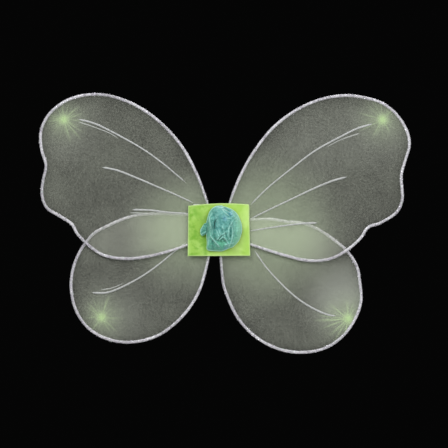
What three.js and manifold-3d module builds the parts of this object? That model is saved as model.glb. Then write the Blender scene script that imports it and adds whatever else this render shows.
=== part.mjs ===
// Child's fairy wings: four sheer nylon wings on bent wire loops, held between two small fabric
// patches, with a ribbon rose in front and two elastic shoulder straps behind.
// Millimetres. +Z is up, +X is to the right as seen from the rose's side, and +Y points at the wearer.
// The origin is the centre of the back patch's rear face, which lies on the wearer's back.

import * as THREE from 'three';
import { mergeVertices } from 'three/addons/utils/BufferGeometryUtils.js';
import Module from 'manifold-3d';

const wasm = await Module();
wasm.setup();

// ---- driving dimensions ----

const GAP = 0.3; // clearance between neighbours

const PATCH_WIDTH = 78;
const FRONT_PATCH_HEIGHT = 66;
const BACK_PATCH_HEIGHT = 60;
const PATCH_THICKNESS = 1.0;
const PATCH_CORNER_RADIUS = 1.6;
const CARD_MARGIN = 2; // how far the card stays inside the back patch
const CARD_THICKNESS = 1.2;

const WIRE_RADIUS = 1.0;
const NYLON_THICKNESS = 0.8;
const COAT_COVER = 0.24; // glitter coat over the wire's front and rear
const COAT_SIDE = 0.78; // glitter coat beside the wire, in the plane of the wing
const COAT_TUCK = 3; // how far the coat runs in under the front patch
const NYLON_TUCK = 5; // how far the nylon runs in under the front patch
const VEIN_WIDTH = 2.6;
const VEIN_HEIGHT = 1.0;

const FOLD_OFFSET = 1; // fold line's distance outside the patch's side edge
const FOLD_GAP = 2.4; // clear width along the fold line

const TAPE_WIDTH = 8;
const TAPE_THICKNESS = 0.5;
const SIDE_TAPE_INSET = 2; // side tapes' ends inside the clear core of the sandwich
const END_TAPE_LENGTH = 40;
const END_TAPE_INSET = 1; // end tapes' outer edges inside the clear core of the sandwich

const STRAP_WIDTH = 9;
const STRAP_THICKNESS = 1.0;
const STRAP_SPACING = 56; // between the two straps' centre lines
const STRAP_REACH = 105; // how far the loops stand out behind the patch
const STRAP_BEND_RADIUS = 1.9;
const STRAP_TAB_LENGTH = 15;
const BARTACK_HEIGHT = 1.8;
const BARTACK_EDGE = 1.3; // strap left on each side of a bartack
const BARTACK_RECESS = 0.1;
const BARTACK_FROM_EDGE = 8; // bartack's distance below the back patch's edge

const ROSE_WIDTH = 46;
const ROSE_HEIGHT = 58;
const ROSE_CENTRE_X = 6.5;
const ROSE_CENTRE_Z = 1.3;
const GLUE_PAD_RADIUS = 10;
const GLUE_PAD_THICKNESS = 1.0;
const ROSE_TAIL_WIDTH = 8;
const ROSE_TAIL_HEIGHT = 13;
const ROSE_TAIL_THICKNESS = 3;

// Each wire loop leaves the patch at its top or bottom edge, follows the wing's outline round to the
// patch's side edge, and turns back under the patch. Outline and vein points are [across, up], as
// shares of the loop's own reach and rise. The root's places are shares of the front patch's half
// width across and half height up.
const UPPER_LEFT = {
  name: 'left_upper',
  side: -1,
  reach: 225,
  rise: 171.5,
  exit: 0.364,
  sideExit: -0.56,
  tip: [0.13, -0.09],
  approach: [0.22, 0.42],
  retreat: [0.36, -0.29],
  outline: [
    [0.120, 0.400], [0.209, 0.616], [0.327, 0.790], [0.471, 0.922], [0.616, 0.990],
    [0.709, 1.000], [0.804, 0.981], [0.889, 0.930], [0.960, 0.844], [1.000, 0.729],
    [0.997, 0.600], [0.972, 0.475], [0.987, 0.370], [0.994, 0.262], [0.968, 0.166],
    [0.893, 0.102], [0.827, 0.044], [0.789, -0.038], [0.662, -0.177], [0.540, -0.210],
    [0.408, -0.196], [0.291, -0.159],
  ],
  veins: {
    top: [[0.184, 0.347], [0.310, 0.486], [0.417, 0.588], [0.547, 0.687], [0.697, 0.784], [0.790, 0.817]],
    middle: [[0.136, 0.195], [0.244, 0.261], [0.348, 0.320], [0.484, 0.396], [0.574, 0.441], [0.656, 0.463]],
    low: [[0.150, 0.120], [0.282, 0.130], [0.380, 0.145], [0.488, 0.150]],
  },
};

const UPPER_RIGHT = {
  name: 'right_upper',
  side: 1,
  reach: 241,
  rise: 170,
  exit: 0.344,
  sideExit: -0.533,
  tip: [0.13, -0.09],
  approach: [0.22, 0.42],
  retreat: [0.36, -0.29],
  outline: [
    [0.112, 0.400], [0.181, 0.576], [0.280, 0.754], [0.400, 0.887], [0.541, 0.975],
    [0.665, 1.000], [0.759, 0.986], [0.852, 0.947], [0.933, 0.859], [0.989, 0.728],
    [1.000, 0.628], [0.983, 0.541], [0.958, 0.410], [0.962, 0.294], [0.962, 0.224],
    [0.936, 0.138], [0.850, 0.055], [0.782, 0.018], [0.743, -0.061], [0.673, -0.148],
    [0.596, -0.208], [0.517, -0.228], [0.439, -0.221], [0.332, -0.182], [0.250, -0.146],
  ],
  veins: {
    top: [[0.163, 0.182], [0.250, 0.305], [0.378, 0.454], [0.505, 0.590], [0.633, 0.690], [0.729, 0.757],
      [0.806, 0.789]],
    middle: [[0.192, 0.101], [0.250, 0.142], [0.378, 0.228], [0.506, 0.314], [0.601, 0.368], [0.671, 0.395]],
    low: [[0.164, -0.007], [0.346, 0.033], [0.442, 0.049], [0.518, 0.053]],
  },
};

const LOWER_LEFT = {
  name: 'left_lower',
  side: -1,
  reach: 187.2,
  rise: -142.2,
  exit: 0.333,
  sideExit: 0.558,
  tip: [0.18, 0.06],
  approach: [0.28, -0.45],
  retreat: [0.51, 0.42],
  outline: [
    [0.104, 0.425], [0.131, 0.532], [0.198, 0.689], [0.310, 0.847], [0.438, 0.953],
    [0.623, 1.000], [0.788, 0.953], [0.901, 0.849], [0.973, 0.693], [1.000, 0.506],
    [0.992, 0.380], [0.967, 0.267], [0.922, 0.152], [0.844, 0.028], [0.751, -0.039],
    [0.637, -0.103], [0.540, -0.135], [0.377, -0.146],
  ],
  veins: {
    single: [[0.209, 0.099], [0.317, 0.208], [0.386, 0.285], [0.490, 0.386], [0.594, 0.467],
      [0.705, 0.536], [0.767, 0.559], [0.860, 0.559]],
  },
};

const LOWER_RIGHT = {
  name: 'right_lower',
  side: 1,
  reach: 180,
  rise: -155,
  exit: 0.062,
  sideExit: 0.394,
  tip: [0.15, 0.09],
  approach: [0.04, -0.45],
  retreat: [0.51, 0.32],
  outline: [
    [0.023, 0.345], [0.033, 0.442], [0.060, 0.540], [0.117, 0.686], [0.180, 0.786],
    [0.268, 0.880], [0.410, 0.968], [0.572, 1.000], [0.735, 0.970], [0.860, 0.880],
    [0.952, 0.740], [1.000, 0.585], [0.994, 0.445], [0.970, 0.294], [0.900, 0.170],
    [0.820, 0.089], [0.712, 0.003], [0.582, -0.058], [0.500, -0.064], [0.372, -0.087],
  ],
  veins: {
    single: [[0.247, 0.161], [0.332, 0.303], [0.441, 0.442], [0.549, 0.555], [0.657, 0.637], [0.765, 0.692],
      [0.823, 0.704]],
  },
};

const UPPER_WINGS = [UPPER_LEFT, UPPER_RIGHT];
const LOWER_WINGS = [LOWER_LEFT, LOWER_RIGHT];

const OUTER_STEPS = 48;
const ROOT_STEPS = 20;
const ROOT_COAT_STEPS = 9;
const VEIN_STEPS = 12;
const STRAP_STEPS = 72;
const ROUND_SEGMENTS = 24;
const WIRE_SIDES = 6;
const LOOP_SAMPLES = 900;
const FAR = 600; // beyond every piece, for the boxes that cut

// ---- where each layer lies, from the wearer forwards ----

const halfPatch = PATCH_WIDTH / 2;
const halfFront = FRONT_PATCH_HEIGHT / 2;
const halfBack = BACK_PATCH_HEIGHT / 2;
const foldX = halfPatch + FOLD_OFFSET;
const coatBore = WIRE_RADIUS + 1.4 * GAP; // half the channel that holds the wire
const boreDepth = 1.1 * coatBore; // the channel is a little deeper than wide
const halfCoatWidth = coatBore + COAT_SIDE;
const halfCoatDepth = boreDepth + COAT_COVER;
const coreX = halfPatch - NYLON_TUCK; // the nylon is trimmed away inside these two
const coreZ = halfFront - NYLON_TUCK;

const backPatchFront = -PATCH_THICKNESS;
const tabRear = backPatchFront - GAP;
const strapY = tabRear - STRAP_THICKNESS / 2;
const cardRear = tabRear - STRAP_THICKNESS - GAP;
const cardFront = cardRear - CARD_THICKNESS;
const lowerWingY = cardFront - GAP - halfCoatDepth;
const upperWingY = lowerWingY - 2 * halfCoatDepth - GAP;
const upperWireFront = upperWingY - WIRE_RADIUS;
const lowerWireFront = lowerWingY - WIRE_RADIUS;
const upperCoatFront = upperWingY - halfCoatDepth;
const upperTapeFront = upperWireFront - GAP - TAPE_THICKNESS;
const frontPatchRear = Math.min(upperCoatFront, upperTapeFront) - GAP;
const frontPatchFront = frontPatchRear - PATCH_THICKNESS;
const gluePadRear = frontPatchFront - GAP;
const roseRear = gluePadRear - GLUE_PAD_THICKNESS - GAP;

// ---- materials ----

const finish = (color, roughness, metalness = 0) => ({ color, roughness, metalness });
const FINISHES = {
  greenFabric: finish(0xb4e25a, 0.9),
  card: finish(0xd8d2c0, 0.95),
  steel: finish(0x9a9a9c, 0.4, 0.9),
  nylon: finish(0x9fae96, 0.7),
  glitter: finish(0xdcd3de, 0.45),
  tape: finish(0xe8e6dc, 0.8),
  elastic: finish(0xf2f2f0, 0.85),
  thread: finish(0xc6e27c, 0.7),
  glue: finish(0xefe9d2, 0.4),
  ribbon: finish(0x62b3a8, 0.55),
};

const wings = new THREE.Group();

function addPiece(name, geometry, finishName) {
  const mesh = new THREE.Mesh(geometry, new THREE.MeshStandardMaterial(FINISHES[finishName]));
  mesh.name = name;
  wings.add(mesh);
}

// ---- solids, cuts and joins ----

function solidOf(geometry) {
  const bare = geometry.clone();
  bare.deleteAttribute('normal');
  bare.deleteAttribute('uv');
  const merged = mergeVertices(bare, 1e-4);
  return new wasm.Manifold(new wasm.Mesh({
    numProp: 3,
    vertProperties: new Float32Array(merged.attributes.position.array),
    triVerts: new Uint32Array(merged.index.array),
  }));
}

function geometryOf(solid) {
  const mesh = solid.getMesh();
  const geometry = new THREE.BufferGeometry();
  geometry.setAttribute('position', new THREE.BufferAttribute(mesh.vertProperties, 3));
  geometry.setIndex(new THREE.BufferAttribute(mesh.triVerts, 1));
  geometry.computeVertexNormals();
  return geometry;
}

// A box given by its lowest and highest corners.
function boxBetween(low, high) {
  const box = new THREE.BoxGeometry(high[0] - low[0], high[1] - low[1], high[2] - low[2]);
  box.translate((low[0] + high[0]) / 2, (low[1] + high[1]) / 2, (low[2] + high[2]) / 2);
  return box;
}

// Everything outside the fold line on one side.
function outerZone(side) {
  const near = foldX + FOLD_GAP / 2;
  const low = side < 0 ? -FAR : near;
  const high = side < 0 ? -near : FAR;
  return solidOf(boxBetween([low, -FAR, -FAR], [high, FAR, FAR]));
}

// Everything between the two fold lines.
function rootZone() {
  const edge = foldX - FOLD_GAP / 2;
  return solidOf(boxBetween([-edge, -FAR, -FAR], [edge, FAR, FAR]));
}

// The part of the sandwich where the nylon has been trimmed away.
function trimmedCore() {
  return solidOf(boxBetween([-coreX, -FAR, -coreZ], [coreX, FAR, coreZ]));
}

// A flat plate: an outline in X and Z, from yRear forwards by its thickness.
function plate(shape, yRear, thickness) {
  const options = { depth: thickness, bevelEnabled: false, curveSegments: 3 };
  const geometry = new THREE.ExtrudeGeometry(shape, options);
  geometry.rotateX(Math.PI / 2);
  geometry.translate(0, yRear, 0);
  return geometry;
}

function roundedRectangle(width, height, radius) {
  const x = width / 2;
  const z = height / 2;
  const shape = new THREE.Shape();
  shape.moveTo(-x + radius, -z);
  shape.lineTo(x - radius, -z);
  shape.absarc(x - radius, -z + radius, radius, -Math.PI / 2, 0);
  shape.lineTo(x, z - radius);
  shape.absarc(x - radius, z - radius, radius, 0, Math.PI / 2);
  shape.lineTo(-x + radius, z);
  shape.absarc(-x + radius, z - radius, radius, Math.PI / 2, Math.PI);
  shape.lineTo(-x, -z + radius);
  shape.absarc(-x + radius, -z + radius, radius, Math.PI, 1.5 * Math.PI);
  return shape;
}

// ---- wing loops ----

// A stretch of a closed loop, between two shares of its length. Shares may run below 0 or past 1.
class LoopStretch extends THREE.Curve {
  constructor(loop, from, to) {
    super();
    this.loop = loop;
    this.from = from;
    this.to = to;
  }

  getPoint(t, target = new THREE.Vector3()) {
    const share = THREE.MathUtils.euclideanModulo(this.from + (this.to - this.from) * t, 1);
    return this.loop.getPointAt(share, target);
  }
}

// The wire's centre line as a closed spline, starting at its inner tip.
function wireLoop(wing, y) {
  const onPatch = ([across, up]) => [across * halfPatch, up * halfFront];
  const flat = [
    onPatch(wing.tip),
    onPatch(wing.approach),
    onPatch([wing.exit, Math.sign(wing.rise)]),
    ...wing.outline.map(([across, up]) => [across * wing.reach, up * wing.rise]),
    onPatch([1, wing.sideExit]),
    onPatch(wing.retreat),
  ];
  const points = flat.map(([x, z]) => new THREE.Vector3(wing.side * x, y, z));
  const loop = new THREE.CatmullRomCurve3(points, true, 'centripetal');
  loop.arcLengthDivisions = LOOP_SAMPLES;
  return loop;
}

// Shares of the loop's length where it first and last meets a condition on its points.
function sharesWhere(loop, test) {
  const shares = [];
  for (let i = 0; i < LOOP_SAMPLES; i += 1) {
    const share = i / LOOP_SAMPLES;
    if (test(loop.getPointAt(share))) shares.push(share);
  }
  return [shares[0], shares[shares.length - 1]];
}

// +1 where the loop turns anticlockwise as seen from the front, -1 where it turns clockwise.
function turnOf(loop) {
  const points = loop.getSpacedPoints(LOOP_SAMPLES).map((p) => new THREE.Vector2(p.x, p.z));
  return Math.sign(THREE.ShapeUtils.area(points));
}

// A section [forward, outward] swept along a stretch of a loop that turns the given way.
function sweep(section, path, steps, turn) {
  const corners = section.map(([forward, outward]) => new THREE.Vector2(forward, turn * outward));
  const options = { steps, extrudePath: path, bevelEnabled: false };
  return new THREE.ExtrudeGeometry(new THREE.Shape(corners), options);
}

function wireSection() {
  const section = [];
  for (let i = 0; i < WIRE_SIDES; i += 1) {
    const angle = (i * 2 * Math.PI) / WIRE_SIDES;
    section.push([WIRE_RADIUS * Math.cos(angle), WIRE_RADIUS * Math.sin(angle)]);
  }
  return section;
}

// The coat wraps the wire and is open on the wing's side, where the nylon runs in.
function coatSection() {
  const depth = halfCoatDepth;
  const width = halfCoatWidth;
  const slot = NYLON_THICKNESS / 2 + GAP;
  const mouth = -Math.sqrt((WIRE_RADIUS + GAP) ** 2 - slot ** 2);
  return [
    [slot, -width], [depth, -width * 0.3], [depth * 0.82, width * 0.7], [0, width],
    [-depth * 0.82, width * 0.7], [-depth, -width * 0.3], [-slot, -width], [-slot, mouth],
    [-boreDepth, 0.15 * coatBore], [0, boreDepth], [boreDepth, 0.15 * coatBore], [slot, mouth],
  ];
}

// Outline of the nylon inside a stretch of wire: the stretch moved inwards by the inset.
function nylonShape(path, steps, turn) {
  const inset = WIRE_RADIUS + GAP;
  const points = [];
  for (let i = 0; i <= steps; i += 1) {
    const point = path.getPointAt(i / steps);
    const tangent = path.getTangentAt(i / steps);
    points.push(new THREE.Vector2(point.x - turn * tangent.z * inset, point.z + turn * tangent.x * inset));
  }
  return new THREE.Shape(points);
}

function addVeins(wing, y, outer) {
  const rear = y - NYLON_THICKNESS / 2 - GAP;
  const middle = rear - VEIN_HEIGHT / 2;
  const side = VEIN_WIDTH / 2;
  const top = VEIN_HEIGHT / 2;
  const shoulder = [0.5 * top, 0.7 * side];
  const section = [[-top, -side], [shoulder[0], -shoulder[1]], [top, 0], shoulder, [-top, side]];
  for (const [veinName, places] of Object.entries(wing.veins)) {
    const points = places.map(([across, up]) => (
      new THREE.Vector3(wing.side * across * wing.reach, middle, up * wing.rise)
    ));
    const path = new THREE.CatmullRomCurve3(points, false, 'centripetal');
    const bead = solidOf(sweep(section, path, VEIN_STEPS, 1)).intersect(outer);
    addPiece(`${wing.name}_vein_${veinName}`, geometryOf(bead), 'glitter');
  }
}

function addWing(wing, y) {
  const loop = wireLoop(wing, y);
  const turn = turnOf(loop);
  const [leave, back] = sharesWhere(loop, (p) => Math.abs(p.x) > foldX);
  const [coatStart] = sharesWhere(loop, (p) => Math.abs(p.z) > halfFront - COAT_TUCK);
  const overrun = (4 * FOLD_GAP) / loop.getLength();
  const outerPath = new LoopStretch(loop, leave - overrun, back + overrun);
  const rootPath = new LoopStretch(loop, back - overrun - 1, leave + overrun);
  const rootCoatPath = new LoopStretch(loop, coatStart, leave + overrun);
  const outer = outerZone(wing.side);
  const root = rootZone();

  const wire = wireSection();
  const outerWire = solidOf(sweep(wire, outerPath, OUTER_STEPS, turn)).intersect(outer);
  const rootWire = solidOf(sweep(wire, rootPath, ROOT_STEPS, turn)).intersect(root);
  addPiece(`${wing.name}_wire`, geometryOf(outerWire), 'steel');
  addPiece(`${wing.name}_wire_root`, geometryOf(rootWire), 'steel');

  const coat = coatSection();
  const outerCoat = solidOf(sweep(coat, outerPath, OUTER_STEPS, turn)).intersect(outer);
  const rootCoat = solidOf(sweep(coat, rootCoatPath, ROOT_COAT_STEPS, turn)).intersect(root);
  addPiece(`${wing.name}_rim_coat`, geometryOf(outerCoat), 'glitter');
  addPiece(`${wing.name}_rim_coat_root`, geometryOf(rootCoat), 'glitter');

  const yRear = y + NYLON_THICKNESS / 2;
  const outerSheet = solidOf(plate(nylonShape(outerPath, OUTER_STEPS, turn), yRear, NYLON_THICKNESS));
  const rootSheet = solidOf(plate(nylonShape(rootPath, ROOT_STEPS, turn), yRear, NYLON_THICKNESS));
  addPiece(`${wing.name}_nylon`, geometryOf(outerSheet.intersect(outer)), 'nylon');
  addPiece(`${wing.name}_nylon_root`, geometryOf(rootSheet.intersect(root).subtract(trimmedCore())), 'nylon');

  addVeins(wing, y, outer);
}

// ---- the patch sandwich ----

const halfSpacing = STRAP_SPACING / 2;
const bartackWidth = STRAP_WIDTH - 2 * BARTACK_EDGE;
const bartackZ = halfBack - BARTACK_FROM_EDGE;

// A box through the sandwich for one bartack, with the given clearance all round.
function bartackBox(x, z, clearance, yFront, yRear) {
  const halfWidth = bartackWidth / 2 + clearance;
  const halfHeight = BARTACK_HEIGHT / 2 + clearance;
  return boxBetween([x - halfWidth, yFront, z - halfHeight], [x + halfWidth, yRear, z + halfHeight]);
}

function cutBartackHoles(geometry) {
  let solid = solidOf(geometry);
  for (const x of [-halfSpacing, halfSpacing]) {
    for (const z of [-bartackZ, bartackZ]) {
      solid = solid.subtract(solidOf(bartackBox(x, z, GAP, -FAR, FAR)));
    }
  }
  return geometryOf(solid);
}

function addPatches() {
  const front = roundedRectangle(PATCH_WIDTH, FRONT_PATCH_HEIGHT, PATCH_CORNER_RADIUS);
  addPiece('front_patch', plate(front, frontPatchRear, PATCH_THICKNESS), 'greenFabric');
  const back = roundedRectangle(PATCH_WIDTH, BACK_PATCH_HEIGHT, PATCH_CORNER_RADIUS);
  addPiece('back_patch', cutBartackHoles(plate(back, 0, PATCH_THICKNESS)), 'greenFabric');
  const cardWidth = PATCH_WIDTH - 2 * CARD_MARGIN;
  const cardHeight = BACK_PATCH_HEIGHT - 2 * CARD_MARGIN;
  const card = roundedRectangle(cardWidth, cardHeight, PATCH_CORNER_RADIUS);
  addPiece('stiffener_card', cutBartackHoles(plate(card, cardRear, CARD_THICKNESS)), 'card');
}

// A strip of tape bridging the wires, with both ends turned down to the card. Its length runs along
// Z for the side strips and along X for the end strips.
function tapeBridge(length, wireFront) {
  const foot = cardFront - GAP;
  const web = wireFront - GAP;
  const half = length / 2;
  const shape = new THREE.Shape();
  shape.moveTo(-half, foot);
  shape.lineTo(-half, web - TAPE_THICKNESS);
  shape.lineTo(half, web - TAPE_THICKNESS);
  shape.lineTo(half, foot);
  shape.lineTo(half - TAPE_THICKNESS, foot);
  shape.lineTo(half - TAPE_THICKNESS, web);
  shape.lineTo(-half + TAPE_THICKNESS, web);
  shape.lineTo(-half + TAPE_THICKNESS, foot);
  const geometry = new THREE.ExtrudeGeometry(shape, { depth: TAPE_WIDTH, bevelEnabled: false });
  geometry.translate(0, 0, -TAPE_WIDTH / 2);
  return geometry;
}

function addTapes() {
  const sideX = coreX - SIDE_TAPE_INSET / 2 - TAPE_WIDTH / 2;
  const coreTop = Math.min(coreZ, halfBack - CARD_MARGIN);
  for (const [name, side] of [['wire_tape_left', -1], ['wire_tape_right', 1]]) {
    const strip = tapeBridge(2 * (coreTop - SIDE_TAPE_INSET), upperWireFront);
    strip.rotateY(Math.PI / 2);
    strip.translate(side * sideX, 0, 0);
    addPiece(name, strip, 'tape');
  }
  const endZ = coreTop - END_TAPE_INSET - TAPE_WIDTH / 2;
  const top = tapeBridge(END_TAPE_LENGTH, upperWireFront);
  top.translate(0, 0, endZ);
  addPiece('wire_tape_top', top, 'tape');
  const bottom = tapeBridge(END_TAPE_LENGTH, lowerWireFront);
  bottom.translate(0, 0, -endZ);
  addPiece('wire_tape_bottom', bottom, 'tape');
}

// ---- shoulder straps ----

// Centre line of a strap's free loop, as points in Y and Z. It leaves the patch's top edge, bends
// back over the edge, sweeps round behind and comes in again under the bottom edge.
function strapLine() {
  const edge = halfBack + GAP;
  const crown = edge + STRAP_BEND_RADIUS;
  const bendY = strapY + STRAP_BEND_RADIUS;
  const half = STRAP_BEND_RADIUS * Math.SQRT1_2;
  const turnOut = [[strapY, edge], [bendY - half, edge + half], [bendY, crown]];
  const sweepRound = [
    [0.08, 1.00], [0.30, 0.97], [0.58, 0.86], [0.82, 0.62], [0.96, 0.26], [1.00, -0.12],
    [0.96, -0.50], [0.84, -0.80], [0.62, -0.96], [0.34, -1.00], [0.08, -1.00],
  ].map(([back, up]) => [back * STRAP_REACH, up * crown]);
  const turnIn = turnOut.map(([y, z]) => [y, -z]).reverse();
  const points = [...turnOut, ...sweepRound, ...turnIn].map(([y, z]) => new THREE.Vector3(0, y, z));
  return new THREE.CatmullRomCurve3(points, false, 'centripetal');
}

// A band's side view, half its thickness to each side of the line, extruded over its width.
function band(line, steps) {
  const inside = [];
  const outside = [];
  const half = STRAP_THICKNESS / 2;
  for (let i = 0; i <= steps; i += 1) {
    const point = line.getPoint(i / steps);
    const tangent = line.getTangent(i / steps);
    outside.push(new THREE.Vector2(point.y - tangent.z * half, point.z + tangent.y * half));
    inside.push(new THREE.Vector2(point.y + tangent.z * half, point.z - tangent.y * half));
  }
  const shape = new THREE.Shape([...outside, ...inside.reverse()]);
  const geometry = new THREE.ExtrudeGeometry(shape, { depth: STRAP_WIDTH, bevelEnabled: false });
  const upright = new THREE.Matrix4().makeBasis(
    new THREE.Vector3(0, 1, 0),
    new THREE.Vector3(0, 0, 1),
    new THREE.Vector3(1, 0, 0),
  );
  return geometry.applyMatrix4(upright).translate(-STRAP_WIDTH / 2, 0, 0);
}

function addStrap(sideName, x) {
  addPiece(`${sideName}_strap`, band(strapLine(), STRAP_STEPS).translate(x, 0, 0), 'elastic');
  for (const [endName, up] of [['top', 1], ['bottom', -1]]) {
    const low = Math.min(up * halfBack, up * (halfBack - STRAP_TAB_LENGTH));
    const tab = boxBetween(
      [x - STRAP_WIDTH / 2, tabRear - STRAP_THICKNESS, low],
      [x + STRAP_WIDTH / 2, tabRear, low + STRAP_TAB_LENGTH],
    );
    addPiece(`${sideName}_strap_tab_${endName}`, cutBartackHoles(tab), 'elastic');
    const tack = bartackBox(x, up * bartackZ, 0, cardFront - GAP, -BARTACK_RECESS);
    addPiece(`${sideName}_bartack_${endName}`, tack, 'thread');
  }
}

// ---- the ribbon rose ----

const ROSE_MODEL_RADIUS = 26; // the profiles below are drawn for a round rose of this radius

// A ring or bud turned about the rose's own axis, from [radius, depth forwards] points.
function turned(profile) {
  const points = profile.map(([radius, forward]) => new THREE.Vector2(radius, -forward));
  const geometry = new THREE.LatheGeometry(points, ROUND_SEGMENTS);
  const wide = ROSE_WIDTH / 2 / ROSE_MODEL_RADIUS;
  const high = ROSE_HEIGHT / 2 / ROSE_MODEL_RADIUS;
  geometry.scale(wide, 1, high);
  return geometry.translate(ROSE_CENTRE_X, roseRear, ROSE_CENTRE_Z);
}

function addRose() {
  const radius = GLUE_PAD_RADIUS;
  const pad = new THREE.CylinderGeometry(radius, radius, GLUE_PAD_THICKNESS, ROUND_SEGMENTS);
  pad.translate(ROSE_CENTRE_X, gluePadRear - GLUE_PAD_THICKNESS / 2, ROSE_CENTRE_Z);
  addPiece('rose_glue_pad', pad, 'glue');
  const outer = turned([
    [8, 3], [18, 4], [21.5, 9], [24, 12], [26, 10], [25, 5], [20, 0], [8, 0], [8, 3],
  ]);
  addPiece('rose_outer_ribbon', outer, 'ribbon');
  const middle = turned([
    [7.5, 8], [14, 10], [16.5, 14.5], [19, 13], [18.5, 8.5], [14, 4.2], [7.5, 3.6], [7.5, 8],
  ]);
  addPiece('rose_middle_ribbon', middle, 'ribbon');
  const bud = turned([[0, 20], [9, 19], [13, 16], [12, 13], [7, 8.9], [7, 3.4], [0, 3.4]]);
  addPiece('rose_bud', bud, 'ribbon');
  const tailX = ROSE_CENTRE_X - ROSE_WIDTH / 2 - GAP - ROSE_TAIL_WIDTH / 2;
  const tail = roundedRectangle(ROSE_TAIL_WIDTH, ROSE_TAIL_HEIGHT, ROSE_TAIL_WIDTH / 3);
  const tailSolid = plate(tail, frontPatchFront - GAP, ROSE_TAIL_THICKNESS);
  addPiece('rose_tail', tailSolid.translate(tailX, 0, ROSE_CENTRE_Z - 4), 'ribbon');
}

UPPER_WINGS.forEach((wing) => addWing(wing, upperWingY));
LOWER_WINGS.forEach((wing) => addWing(wing, lowerWingY));
addPatches();
addTapes();
addStrap('left', -halfSpacing);
addStrap('right', halfSpacing);
addRose();

export default wings;
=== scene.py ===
import math

import bpy
import numpy as np
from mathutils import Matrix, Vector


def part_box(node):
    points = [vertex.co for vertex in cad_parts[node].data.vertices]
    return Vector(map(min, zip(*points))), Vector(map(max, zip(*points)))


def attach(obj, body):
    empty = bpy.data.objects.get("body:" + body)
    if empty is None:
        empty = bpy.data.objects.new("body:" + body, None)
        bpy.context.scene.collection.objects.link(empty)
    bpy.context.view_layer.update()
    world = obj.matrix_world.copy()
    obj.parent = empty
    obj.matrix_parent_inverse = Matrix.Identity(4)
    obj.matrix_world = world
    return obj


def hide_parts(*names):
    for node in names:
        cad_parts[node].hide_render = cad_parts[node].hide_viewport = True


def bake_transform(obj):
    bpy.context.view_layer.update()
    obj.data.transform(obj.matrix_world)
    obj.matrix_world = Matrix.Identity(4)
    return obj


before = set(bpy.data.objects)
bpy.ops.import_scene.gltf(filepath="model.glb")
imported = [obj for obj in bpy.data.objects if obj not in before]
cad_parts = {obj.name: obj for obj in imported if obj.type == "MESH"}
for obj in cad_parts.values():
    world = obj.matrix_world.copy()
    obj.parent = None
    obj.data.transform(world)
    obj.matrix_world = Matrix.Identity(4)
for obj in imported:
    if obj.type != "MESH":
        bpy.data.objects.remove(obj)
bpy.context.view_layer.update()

# A child's fairy wings. Metres: +Z is up, +X is right as seen from the rose, and +Y is towards the
# wearer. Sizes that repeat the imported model's are read from its boxes or have the same names.

MM = 0.001
TURN = 2 * math.pi

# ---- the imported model's places ----


def corners_of(node):
    """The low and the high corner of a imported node's box."""
    return [np.array(corner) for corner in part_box(node)]


def plane_of(wing):
    """The wing's own plane, halfway through its nylon."""
    low, high = corners_of(wing + "_nylon")
    return (low[1] + high[1]) / 2


CLEARANCE = 0.3 * MM  # between neighbours
patch_low, patch_high = corners_of("front_patch")
HALF_PATCH, PATCH_REAR, HALF_FRONT = patch_high
PATCH_FACE = patch_low[1]
HALF_SIZES = np.array([HALF_PATCH, HALF_FRONT])
back_low, back_high = corners_of("back_patch")
HALF_BACK = back_high[2]
CARD_FACE = corners_of("stiffener_card")[0][1]
glue_low, glue_high = corners_of("rose_glue_pad")
ROSE_REAR = glue_low[1] - CLEARANCE
ROSE_CENTRE = (glue_low + glue_high)[[0, 2]] / 2
WIRE_RADIUS = 1.0 * MM
COAT_HALF_WIDTH = 2.2 * MM
COAT_HALF_DEPTH = 1.8 * MM
COAT_TUCK = 3 * MM
COAT_PITS = 0.30  # the deepest pit, as a share of the coat's half size
FLAKE_SPACING = 0.36 * MM
FLAKE_SIZES = 0.28, 0.52  # least and most, in millimetres from middle to corner
NYLON_TUCK = 5 * MM
NYLON_GAP = 0.55 * MM  # each layer's distance from the wing's plane, away from the wire
NYLON_RISE = 0.5 * MM  # further out over the wire
NYLON_RINGS = 44
FOLD_FROM = 38 * MM  # the wings' bend lies between these two distances from the middle; nothing here bends them
FOLD_TO = 52 * MM
FRONT_VEIN = 2.4 * MM, 0.9 * MM  # width and height of a bead of glue
REAR_VEIN = 1.3 * MM, 0.35 * MM
FRONT_CLOTH_THICKNESS = 0.8 * MM
BACK_CLOTH_THICKNESS = 0.75 * MM
TAPE_THICKNESS = 0.4 * MM
RIBBON_THICKNESS = 0.3 * MM
STITCH_INSET = 3.2 * MM
STITCH_LENGTH = 1.45 * MM
STITCH_THICKNESS = 0.45 * MM
BARTACK_Z = 22 * MM
BARTACK_HALF_WIDTH = 3.1 * MM
BARTACK_HALF_HEIGHT = 1.0 * MM
BARTACK_STITCHES = 14
BARTACK_THICKNESS = 0.42 * MM
STRAP_X = 28 * MM
STRAP_Y = -1.8 * MM
STRAP_HALF_WIDTH = 4.5 * MM
STRAP_REACH = 105 * MM
STRAP_BEND_RADIUS = 1.9 * MM
STRAP_TAB = 15 * MM

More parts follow.
